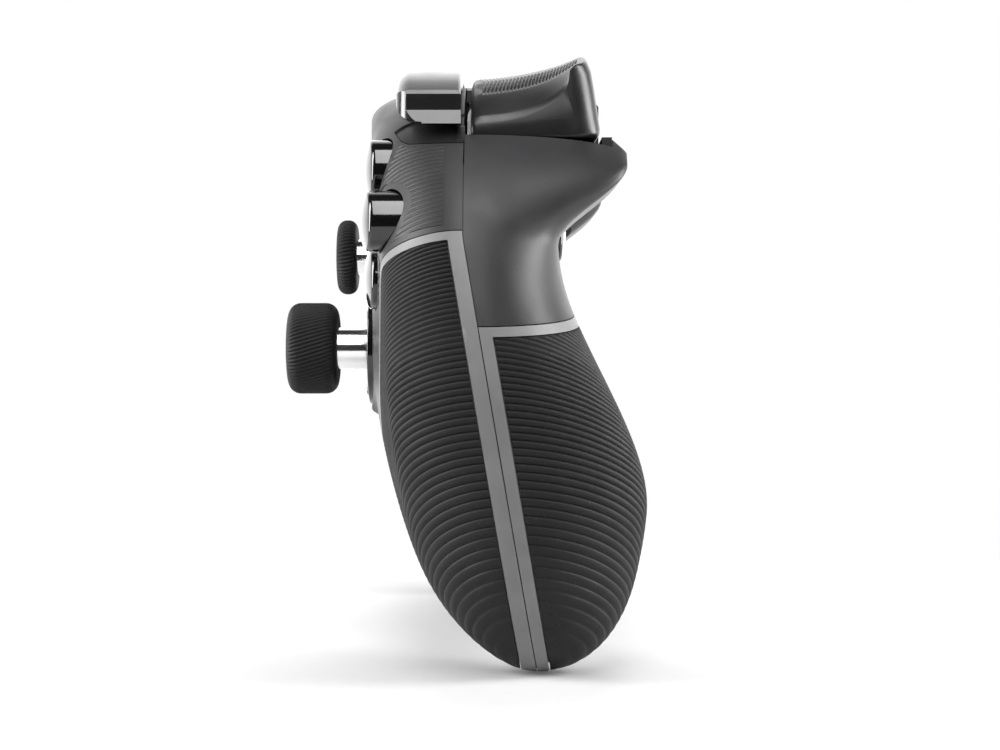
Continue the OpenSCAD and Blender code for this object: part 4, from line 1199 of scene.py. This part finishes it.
@dataclass
class Sticks:
    """The tall right stick and the low left one."""

    right: StickCap = StickCap((22.0, -0.6), 17.7, 9.7, 57.7, 72, 0.34, 0.34)
    left: StickCap = StickCap((-48.0, 20.0), 17.0, 4.5, 58.8, 60, 0.1, 0.42)
    ring_bore: float = 19.0
    ring_wall: float = 1.4
    ring_low: float = 45.6
    ring_proud: float = 0.25
    ring_radii: Pair = (0.3, 0.6)
    ring_sides: int = 128
    stem_d: float = 8.2
    stem_low: float = 49.9
    stem_r: float = 0.3
    stem_sides: int = 96
    shaft: Pair = (1.8, 15.8)
    fit: float = 0.05
    soft: float = 2.4
    dish: float = 0.9
    rib_power: float = 1.4
    sides: int = 432
    crease: float = 70.0

    def places(self) -> list[Pair]:
        """Places of both sticks."""
        return [self.right.place, self.left.place]

    def cap_profile(self, cap: StickCap) -> np.ndarray:
        """Half section of a cap: a soft edge, a full side and a dished, crowned top."""
        r, z, top = cap.d / 2, cap.z, cap.z + cap.h
        soft = min(cap.h / 2.2, self.soft)
        bore, roof = self.stem_d / 2 + self.fit, z + cap.h / 2
        points = [[AXIS_R, roof], [bore, roof], [bore, z + 0.2], [bore + 0.35, z], [r - soft - 0.4, z]]
        points += arc((r - soft, z + soft), soft, -90, 0, 14)
        points += [[r, level] for level in np.linspace(z + soft, top - soft, 22)[1:-1]]
        points += arc((r - soft, top - soft), soft, 0, 88, 14)
        for t in np.linspace(0.06, 1, 18):
            dish = self.dish * math.sin(t * math.pi / 2) ** 2
            points.append([max(AXIS_R, (r - soft) * (1 - t)), top - dish])
        return np.array(points)

    def cap(self, cap: StickCap) -> Form:
        """A knurled cap in its place."""

        def dent(angle: np.ndarray, height: np.ndarray) -> np.ndarray:
            """Grooves that lean round the side and fade out at both ends."""
            share = (height - cap.z) / cap.h
            fade = ease(0.04, 0.16, share) * (1 - ease(0.84, 0.97, share))
            wave = 0.5 - 0.5 * np.cos(cap.ribs * (angle + cap.lean * share))
            return cap.depth * wave**self.rib_power * fade

        return lathe(self.cap_profile(cap), self.sides, dent).at(*cap.place)

    def ring(self, x: float, y: float) -> Form:
        """A trim ring with a soft inner lip."""
        high = CASING.face_at(x, y) + self.ring_proud
        inner, outer = self.ring_bore / 2, self.ring_bore / 2 + self.ring_wall
        edge, lip = self.ring_radii
        section = [[inner + 0.1, self.ring_low], [outer, self.ring_low]]
        section += arc((outer - edge, high - edge), edge, 0, 90, 6)
        section += arc((inner + lip, high - lip), lip, 90, 180, 8)
        turn = np.linspace(0, 2 * math.pi, self.ring_sides, endpoint=False)
        rings = np.array([[[r * math.cos(a), r * math.sin(a), z] for r, z in section] for a in turn])
        rows, columns = rings.shape[:2]
        faces = [tuple(i % (rows * columns) for i in f) for f in quads(rows + 1, columns, wrap=True)]
        return Form(rings.reshape(-1, 3), faces).outward().at(x, y)

    def stem(self, cap: StickCap) -> Form:
        """A polished stem with a rounded foot, over its thin shaft."""
        r, soft, low = self.stem_d / 2, self.stem_r, self.stem_low
        shaft_r, shaft = self.shaft
        top = cap.z + cap.h / 2 - self.fit
        points = [[AXIS_R, low - shaft], [shaft_r, low - shaft], [shaft_r, low], [r - soft, low]]
        points += arc((r - soft, low + soft), soft, -90, 0, 5)
        points += [[r, top], [AXIS_R, top]]
        return lathe(np.array(points), self.stem_sides).at(*cap.place)

    def build(self, shop: Workshop) -> None:
        """Makes caps, stems and rings."""
        for side, cap in ((Side.RIGHT, self.right), (Side.LEFT, self.left)):
            word = side.word
            body = "stick_" + word
            shop.piece(f"stick_cap_{word}_knurled", self.cap(cap), body, "cap_rubber", f"stick_cap_{word}",
                       crease=self.crease)
            shop.piece(f"stick_stem_{word}_polished", self.stem(cap), body, "stem_metal",
                       f"stick_stem_{word}")
            shop.piece(f"stick_ring_{word}_trim", self.ring(*cap.place), "housing", "gloss_black",
                       f"stick_ring_{word}")


@dataclass
class Buttons:
    """Face buttons, direction pad, centre buttons and rear buttons."""

    face: Pair = (48.0, 22.1)
    face_ring: float = 10.0
    face_d: float = 10.8
    face_low: float = 36.0
    face_top: float = 51.0
    centre: tuple[tuple[str, float, float, float, float], ...] = (
        ("view_button", -14.0, 27.0, 6.4, 1.1),
        ("menu_button", 14.0, 27.0, 6.4, 1.1),
        ("home_button", 0.0, 36.0, 10.0, 0.9),
    )
    centre_low: float = 33.5
    rear: Triple = (30.0, 21.0, 10.0)
    rear_proud: float = 1.5
    rear_deep: float = 7.0
    cross: Pair = (-22.0, -1.6)
    cross_len: float = 19.0
    cross_w: float = 7.2
    cross_soft: float = 0.9
    cross_low: float = 47.5
    cross_top: float = 54.9
    pad_edge: Pair = (0.7, 0.8)  # edge radius, share of the height below it
    pad_dish: Pair = (20.0, 1.6)  # radius, depth
    dome_soft: float = 0.7
    dome_crown: float = 0.07
    dome_sides: int = 120
    lean_from: float = 4.0
    face_lean: float = 3.0

    def face_places(self) -> dict[str, Pair]:
        """Places of the four face buttons by name."""
        words = ("top", "right", "bottom", "left")
        turn = {word: math.radians(90 * k) for k, word in enumerate(words)}
        x, y, r = *self.face, self.face_ring
        return {word: (x + r * math.sin(a), y + r * math.cos(a)) for word, a in turn.items()}

    def face_holes(self) -> list[Triple]:
        """Places and diameters of the round buttons in the face."""
        holes = [(x, y, self.face_d) for x, y in self.face_places().values()]
        return holes + [(x, y, d) for _, x, y, d, _ in self.centre]

    def cross_outline(self, gap: float) -> np.ndarray:
        """The cross of the direction pad, larger by gap all round, with soft corners."""
        a, b = self.cross_len / 2 + gap, self.cross_w / 2 + gap
        quarter = [(b, a), (b, b), (a, b)]
        corners: list[Pair] = []
        for c, s in ((1, 0), (0, -1), (-1, 0), (0, 1)):
            corners += [(x * c - y * s, x * s + y * c) for x, y in quarter]
        return soft_outline(corners, self.cross_soft, 0.0) + np.array(self.cross)

    def dome(self, d: float, low: float, high: float, lean: float) -> Form:
        """A round button with a soft shoulder and a crowned top that leans outward.

        Args:
            d: diameter.
            low: foot.
            high: top at the middle.
            lean: slope of the top along X.

        Returns:
            The button about the origin.
        """
        r, soft, crown = d / 2, self.dome_soft, self.dome_crown * d
        points = [[AXIS_R, low], [r, low]]
        points += [[r, z] for z in np.linspace(low, high - crown - soft, 6)[1:]]
        points += arc((r - soft, high - crown - soft), soft, 8, 78, 9)
        for t in np.linspace(0.04, 1, 16):
            points.append([max(AXIS_R, (r - soft * 0.8) * (1 - t)), high - crown * (1 - t) ** 2])

        def tilt(p: np.ndarray) -> np.ndarray:
            """Leans the upper part."""
            share = ease(low + self.lean_from, high - crown - soft, p[:, 2])
            return p + np.stack([0 * share, 0 * share, -lean * p[:, 0] * share], -1)

        return lathe(np.array(points), self.dome_sides).changed(tilt)

    def pad(self) -> Form:
        """The direction pad's cross with rounded edges, before its dish is cut."""
        edge, side = self.pad_edge
        turns = np.linspace(0.3, 1.5, 6)
        levels = [(0.0, 0.0), (0.0, side)]
        levels += [(edge - edge * math.cos(a), side + (1 - side) * math.sin(a)) for a in turns]
        rings = []
        for inset, share in levels:
            outline = self.cross_outline(-inset)
            z = self.cross_low + share * (self.cross_top - self.cross_low)
            rings.append(np.concatenate([outline, np.full((len(outline), 1), z)], 1))
        return sweep(np.array(rings))

    def build(self, shop: Workshop) -> None:
        """Makes every button."""
        for word, (x, y) in self.face_places().items():
            lean = math.tan(math.atan(2 * CASING.face_bow * x) + math.radians(self.face_lean))
            form = self.dome(self.face_d, self.face_low, self.face_top, lean).at(x, y)
            node = "face_button_" + word
            shop.piece(node + "_gloss", form, node, "gloss_black", node)
        for node, x, y, d, proud in self.centre:
            form = self.dome(d, self.centre_low, CASING.face_at(x, y) + proud, 0.0).at(x, y)
            shop.piece(node + "_gloss", form, node, "gloss_black", node)
        r, deep = self.pad_dish
        ball = np.array([[AXIS_R, -r]] + arc((0, 0), r, -89.5, 89.5, 90) + [[AXIS_R, r]])
        hollow = lathe(ball, self.dome_sides).at(*self.cross, self.cross_top + r - deep)
        shop.piece("direction_pad_cross", self.pad(), "direction_pad", "gloss_black", "direction_pad",
                   [(Cut.OFF, hollow)])
        x, y, d = self.rear
        top = CASING.rear_at(x, y) - self.rear_proud
        upright = self.dome(d, -(top + self.rear_deep), -top, 0.0)
        turned = upright.changed(lambda p: p * np.array([1, 1, -1]))
        for side in Side:
            node = "rear_button_" + side.word
            shop.piece(node + "_gloss", turned.at(x, y).on(side), node, "gloss_black", node)


@dataclass
class Bumpers:
    """The bumpers and the bridge between them."""

    gap: float = 1.0
    thin: float = 3.4
    thick: float = 5.6
    swell_x: Pair = (32.0, 50.0)
    low: float = 33.2
    high: float = 45.0
    radii: tuple[float, ...] = (0.6, 2.6, 0.8, 0.4)  # upper inner, upper outer, lower outer, lower inner
    start: float = 11.5
    end: float = 57.0
    bridge: float = 11.0
    facet_x: float = 56.3
    facet_top: tuple[Pair, ...] = ((0.0, 45.0), (0.25, 45.6), (0.8, 46.4))  # distance in from facet_x, y
    flare: Triple = (57.3, 39.6, 42.1)  # outermost x, y of its foot and of its waist
    heel: Pair = (52.5, 53.0)
    corner_r: float = 5.0
    corner: Triple = (43.7, 41.2, 3.7)  # middle as y and z, radius
    pivot_room: tuple[float, ...] = (3.0, 19.0, 40.0, 70.0, 36.1, 40.4)
    tool_low: float = 20.0
    tool_high: float = 80.0
    crease: float = 15.0
    steps: int = 80

    def section(self, x: float) -> np.ndarray:
        """Distance out from the top edge and height, round the section at x."""
        t = self.thin + (self.thick - self.thin) * float(ease(*self.swell_x, np.array(abs(x))))
        a, b, low, high = self.gap, self.gap + t, self.low, self.high
        edge, nose, skirt, foot = self.radii
        points = [[a, low + 0.5], [a, high - edge]]
        points += arc((a + edge, high - edge), edge, 180, 100, 9)
        points += arc((b - nose, high - nose), nose, 84, 2, 14)
        points += [[b, low + 1.4]]
        points += arc((b - skirt, low + skirt), skirt, 0, -90, 6)
        points += arc((a + foot, low + foot), foot, -90, -180, 4)
        return np.array(points)

    def bar(self, x0: float, x1: float) -> Form:
        """A bar along the top edge from x0 to x1."""
        rings = []
        for x in np.linspace(x0, x1, self.steps):
            slope = float(CASING.slope(CASING.edge_high, np.array(x), 0))
            out = np.array([-slope, 1.0]) / math.hypot(slope, 1)
            edge = np.array([x, float(CASING.edge_high(np.array(x), 0))])
            section = self.section(float(x))
            rings.append(np.concatenate([edge + out * section[:, :1], section[:, 1:]], 1))
        return sweep(np.array(rings))

    def end_tools(self) -> Tools:
        """The upright facet over a flared skirt at a bumper's outer end, and its round corners."""
        low, far = self.tool_low, self.tool_high
        x, (out, foot, waist) = self.facet_x, self.flare
        plan = [[0, low], [self.heel[0], low], [self.heel[1], foot], [out, foot], [x, waist]]
        plan += [[x - back, y] for back, y in self.facet_top] + [[50, 60], [0, 70]]
        y, z, r = self.corner
        side = [[low, low], [far, low], [far, far], [y + 1.6, far], [y + 1.6, 60], [y + 0.8, z + r + 0.1]]
        side += arc((y, z), r, 90, 180, 16) + [[y - r - 0.1, z - 1.0], [low, z - 1.2]]
        q, top = self.corner_r, self.high
        front = [[0, low], [out, low], [out, top - q]]
        front += arc((out - q, top - q), q, 0, 90, 18) + [[0, top]]
        return [
            (Cut.KEEP, prism(np.array(plan), low, far)),
            (Cut.KEEP, prism(np.array(side), 0, far, "x")),
            (Cut.KEEP, prism(np.array(front), low, far, "y")),
        ]

    def build(self, shop: Workshop) -> None:
        """Makes both bumpers and the bridge."""
        tools = [(Cut.OFF, box(*self.pivot_room))] + self.end_tools()
        for side in Side:
            node = "bumper_" + side.word
            form = self.bar(self.start, self.end).on(side)
            shop.piece(node + "_gloss", form, node, "bumper_plastic", node, sided(tools, side), self.crease)
        shop.piece("bumper_bridge_gloss", self.bar(-self.bridge, self.bridge), "housing", "bumper_plastic",
                   "bumper_bridge")


@dataclass
class Triggers:
    """The hollow triggers, whose finger face falls to its outer side and carries fine chevron ridges."""

    inner: float = 33.5
    outer: float = 55.5
    wall: float = 1.8
    edge_r: float = 0.8
    back_r: float = 4.6
    back_z: Pair = (8.6, 15.0)
    foot: Triple = (37.0, 31.4, 8.1)  # lowest y, foremost and rearmost z
    face: tuple[Pair, ...] = ((49.9, 30.0), (50.6, 19.5), (53.8, 11.6))
    face_span: Pair = (0.02, 0.96)
    nose: Triple = (52.4, 11.5, 1.3)  # middle as y and z, radius
    back_line: tuple[Pair, ...] = (
        (51.6, 9.75), (48.4, 9.2), (45.2, 8.8), (42.0, 8.4), (39.4, 8.1), (38.4, 8.2), (37.6, 8.7),
    )
    foot_line: tuple[Pair, ...] = (
        (37.2, 9.6), (37.1, 14.0), (37.0, 23.0), (37.0, 29.4), (37.25, 30.4), (37.9, 31.1),
    )
    front_line: tuple[Pair, ...] = (
        (39.0, 31.4), (41.5, 31.4), (45.0, 31.4), (48.2, 31.4), (49.2, 31.1), (49.7, 30.6),
    )
    room_line: tuple[Pair, ...] = (
        (47.6, 29.4), (48.4, 22.0), (49.6, 16.6), (51.2, 13.2), (47.0, 12.0), (42.0, 11.4), (30.0, 10.8),
        (30.0, 36.0), (44.0, 36.0),
    )
    level_w: float = 2.0
    fall: float = 9.4
    fall_power: float = 2.4
    fall_y: Pair = (37.0, 49.5)
    tip_hold: float = 0.64
    tip_z: Pair = (31.0, 11.0)
    ridges: int = 27
    ridge: float = 0.5
    per_ridge: int = 8
    ridged: Triple = (0.1, 0.42, 0.74)  # start, apex and end as shares of the width
    ridge_ends: Pair = (0.04, 0.03)
    chevron: float = 1.5
    crease: float = 50.0

    def finger_face(self, t: np.ndarray) -> np.ndarray:
        """Points of the finger face in the side view, from its front end to its tip."""
        a, b, c = (np.array(p) for p in self.face)
        t = t[:, None]
        return a * (1 - t) ** 2 + b * 2 * t * (1 - t) + c * t * t

    def side_view(self) -> tuple[np.ndarray, np.ndarray]:
        """The side view at the inner side as y and z.

        Returns:
            Its points, and the ridge phase of each one, or -1 off the finger face.
        """
        count = self.ridges * self.per_ridge
        top = self.finger_face(np.linspace(*self.face_span, count))
        y, z, r = self.nose
        nose = arc((y, z), r, 24, -62, 9)
        line = np.concatenate([top, nose, self.back_line, self.foot_line, self.front_line])
        phase = np.full(len(line), -1.0)
        phase[:count] = np.linspace(0, self.ridges, count)
        return line, phase

    def lowered(self, x: float, line: np.ndarray) -> np.ndarray:
        """The side view at x, where the finger face has fallen."""
        level = self.inner + self.level_w
        u = min(1.0, max(0.0, (x - level) / (self.outer - level)))
        (front, tip), (low, high) = self.tip_z, self.fall_y
        hold = 1 - self.tip_hold * np.clip((front - line[:, 1]) / (front - tip), 0, 1) ** 4
        share = np.clip((line[:, 0] - low) / (high - low), 0, 1)
        drop = self.fall * u**self.fall_power * hold * share
        return np.stack([line[:, 0] - drop, line[:, 1]], -1)

    def stations(self) -> np.ndarray:
        """Distances from the inner side at which the trigger is drawn, close together near its edges."""
        width = self.outer - self.inner
        ends = (0.0, self.edge_r, width - self.back_r, width - self.edge_r, width)
        spans = [np.linspace(a, b, n) for a, b, n in zip(ends, ends[1:], (8, 36, 14, 9))]
        return np.concatenate([spans[0], *(span[1:] for span in spans[1:])])

    def form(self) -> Form:
        """The trigger before it is hollowed."""
        line, phase = self.side_view()
        width = self.outer - self.inner
        start, apex, stop = self.ridged
        low, front, back = self.foot
        rings = []
        for x in self.stations():
            share = np.array(x / width)
            chevron = np.abs(((phase + self.chevron * abs(share - apex) / (apex - start)) % 1) * 2 - 1)
            fade = ease(start, start + self.ridge_ends[0], share)
            fade = float(fade * (1 - ease(stop - self.ridge_ends[1], stop, share)))
            dip = np.where(phase >= 0, self.ridge * chevron * fade, 0)
            view = self.lowered(self.inner + x, line - np.stack([dip, 0 * phase], -1))
            draw = drawn_in(self.edge_r, min(x, width - x))
            top = self.lowered(self.inner + x, line[phase >= 0])[::-1]
            high = np.interp(view[:, 1], top[:, 1], top[:, 0])
            view[:, 0] -= draw * np.clip((2 * view[:, 0] - high - low) / (high - low), -1, 1)
            view[:, 1] -= draw * np.clip((2 * view[:, 1] - front - back) / (front - back), -1, 1)
            turn = drawn_in(self.back_r, width - x)
            view[:, 1] += max(0.0, turn - draw) * (1 - ease(*self.back_z, view[:, 1]))
            rings.append(np.concatenate([np.full((len(line), 1), self.inner + x), view], 1))
        return sweep(np.array(rings))

    def room(self) -> Form:
        """The hollow, open below and in front."""
        line = np.array(self.room_line)
        rings = []
        for x in np.linspace(self.inner + self.wall, self.outer - self.wall - self.level_w, 12):
            rings.append(np.concatenate([np.full((len(line), 1), x), self.lowered(x, line)], 1))
        return sweep(np.array(rings))

    def build(self, shop: Workshop) -> None:
        """Makes both triggers."""
        for side in Side:
            node = "trigger_" + side.word
            shop.piece(node + "_ridged", self.form().on(side), node, "trigger_plastic", node,
                       [(Cut.OFF, self.room().on(side))], self.crease)


@dataclass(frozen=True)
class Lamp:
    """A soft box aimed at the object: its place, width and height, power, and whether mirrors show it."""

    name: str
    place: Triple
    size: Pair
    watts: float
    mirrored: bool = True

    def build(self, aim: Vector) -> None:
        """Sets the lamp up, turned to the point aim."""
        data = bpy.data.lights.new(self.name, "AREA")
        data.shape = "RECTANGLE"
        data.size, data.size_y = self.size[0] * MM, self.size[1] * MM
        data.energy = self.watts
        made = bpy.data.objects.new(self.name, data)
        made.location = Vector(self.place) * MM
        made.visible_glossy = self.mirrored
        made.rotation_mode = "QUATERNION"
        made.rotation_quaternion = (aim * MM - made.location).to_track_quat("-Z", "Y")
        bpy.context.scene.collection.objects.link(made)


LAMPS = [
    Lamp("key_box", (300, 330, 26), (420, 160), 1.5),
    Lamp("back_box", (-260, 360, 26), (500, 300), 3.0, mirrored=False),
    Lamp("rear_strip", (30, 60, -340), (140, 460), 3.0),
    Lamp("front_strip", (60, 120, 420), (140, 460), 3.0),
]


@dataclass
class Studio:
    """Camera, floor, backdrop and soft light."""

    eye_x: float = 420.0
    aim_y: float = 1.02
    shift_y: float = -0.035
    aim_z: float = 26.2
    focal_px: float = 2037.0
    image_px: float = 1000.0
    sensor: float = 36.0
    floor_y: float = -57.9
    floor_glow: float = 0.06
    floor_r: Pair = (90.0, 230.0)
    floor_margin: float = 20.0
    floor_tones: Pair = (0.54, 0.56)
    middle_z: float = 26.0
    world_light: float = 0.06
    mirror_x: Pair = (-0.75, -0.4)
    mirror_light: Pair = (2.2, 0.03)

    def camera(self) -> None:
        """A camera on the player's right, level with the middle of the picture."""
        lens = bpy.data.cameras.new("side_camera")
        lens.sensor_width = self.sensor
        lens.lens = self.focal_px * self.sensor / self.image_px
        lens.shift_y = self.shift_y
        made = bpy.data.objects.new("side_camera", lens)
        right, up, back = Vector((0, 0, -1)), Vector((0, 1, 0)), Vector((1, 0, 0))
        turn = Matrix((right, up, back)).transposed().to_4x4()
        made.matrix_world = Matrix.Translation(Vector((self.eye_x, self.aim_y, self.aim_z)) * MM) @ turn
        bpy.context.scene.collection.objects.link(made)
        bpy.context.scene.camera = made

    def world(self) -> None:
        """A white surround for camera and mirror rays, and an even light for the rest."""
        world = bpy.data.worlds.new("white_surround")
        world.use_nodes = True
        world.node_tree.nodes.clear()
        nodes = Nodes(world.node_tree)
        path = nodes.add("LightPath")
        seen = nodes.maths("MAXIMUM", path.outputs["Is Camera Ray"], path.outputs["Is Transmission Ray"])
        way = nodes.add("TexCoord").outputs["Generated"]
        toward = nodes.add("SeparateXYZ", {0: way}).outputs["X"]
        (far, near), (bright, dark) = self.mirror_x, self.mirror_light
        dim = nodes.add("MapRange", {"Value": toward, "From Min": far, "From Max": near})
        dim.inputs["To Min"].default_value = bright
        dim.inputs["To Max"].default_value = dark
        glossy = path.outputs["Is Glossy Ray"]
        mirror = nodes.maths("MULTIPLY", glossy, dim.outputs[0])
        plain = nodes.maths("MULTIPLY", nodes.maths("SUBTRACT", 1.0, glossy), self.world_light)
        level = nodes.maths("MAXIMUM", seen, nodes.maths("ADD", mirror, plain))
        back = nodes.add("Background", {"Color": (1, 1, 1, 1), "Strength": level})
        out = nodes.add("OutputWorld")
        nodes.tree.links.new(back.outputs[0], out.inputs["Surface"])
        bpy.context.scene.world = world

    def floor(self) -> None:
        """A pale floor under the grip tips, seen from above only, which fades into the surround."""
        near, far = self.floor_r
        s, y = far + self.floor_margin, self.floor_y
        data = bpy.data.meshes.new("floor")
        corners = [(-s, y, -s), (-s, y, s), (s, y, s), (s, y, -s)]
        data.from_pydata([tuple(v * MM for v in c) for c in corners], [], [(0, 1, 2, 3)])
        made = bpy.data.objects.new("floor", data)
        bpy.context.scene.collection.objects.link(made)
        look = bpy.data.materials.new("pale_floor")
        look.use_nodes = True
        look.node_tree.nodes.clear()
        nodes = Nodes(look.node_tree)
        place = nodes.add("TexCoord").outputs["Object"]
        grain = nodes.add("TexNoise", {"Vector": place, "Scale": 300.0})
        dark, pale = ((tone, tone, tone, 1) for tone in self.floor_tones)
        tone = nodes.add("Mix", {0: grain.outputs["Fac"], 6: dark, 7: pale}, data_type="RGBA")
        matt = nodes.add("BsdfDiffuse", {"Color": tone.outputs[2]})
        path = nodes.add("LightPath").outputs["Is Camera Ray"]
        glow = nodes.add("Emission", {"Strength": nodes.maths("MULTIPLY", path, self.floor_glow)})
        lit = nodes.add("AddShader", {0: matt.outputs[0], 1: glow.outputs[0]})
        under = (0.0, y * MM, self.middle_z * MM)
        away = nodes.add("VectorMath", {0: place, 1: under}, operation="DISTANCE").outputs["Value"]
        fade = nodes.add("MapRange", {"Value": away, "From Min": near * MM, "From Max": far * MM},
                         interpolation_type="SMOOTHSTEP")
        clear = nodes.add("BsdfTransparent")
        behind = nodes.add("NewGeometry").outputs["Backfacing"]
        unseen = nodes.maths("MAXIMUM", nodes.maths("MULTIPLY", fade.outputs[0], path), behind)
        mixed = nodes.add("MixShader", {0: unseen, 1: lit.outputs[0], 2: clear.outputs[0]})
        out = nodes.add("OutputMaterial")
        nodes.tree.links.new(mixed.outputs[0], out.inputs["Surface"])
        data.materials.append(look)

    def build(self) -> None:
        """Sets up the picture."""
        self.camera()
        self.world()
        self.floor()
        for lamp in LAMPS:
            lamp.build(Vector((0, 0, self.middle_z)))
        bpy.context.scene.view_settings.view_transform = "Standard"


def main() -> None:
    """Builds the pieces in order and dresses what stays of the frame."""
    logging.basicConfig(level=logging.INFO, format="%(name)s: %(message)s")
    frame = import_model()
    Studio().build()
    shop = Workshop()
    shop.dress(frame)
    grips, sticks, buttons = Grips(), Sticks(), Buttons()
    Shells().build(shop, grips, sticks, buttons)
    grips.build(shop)
    sticks.build(shop)
    buttons.build(shop)
    Bumpers().build(shop)
    Triggers().build(shop)


if __name__ == "__main__":
    main()
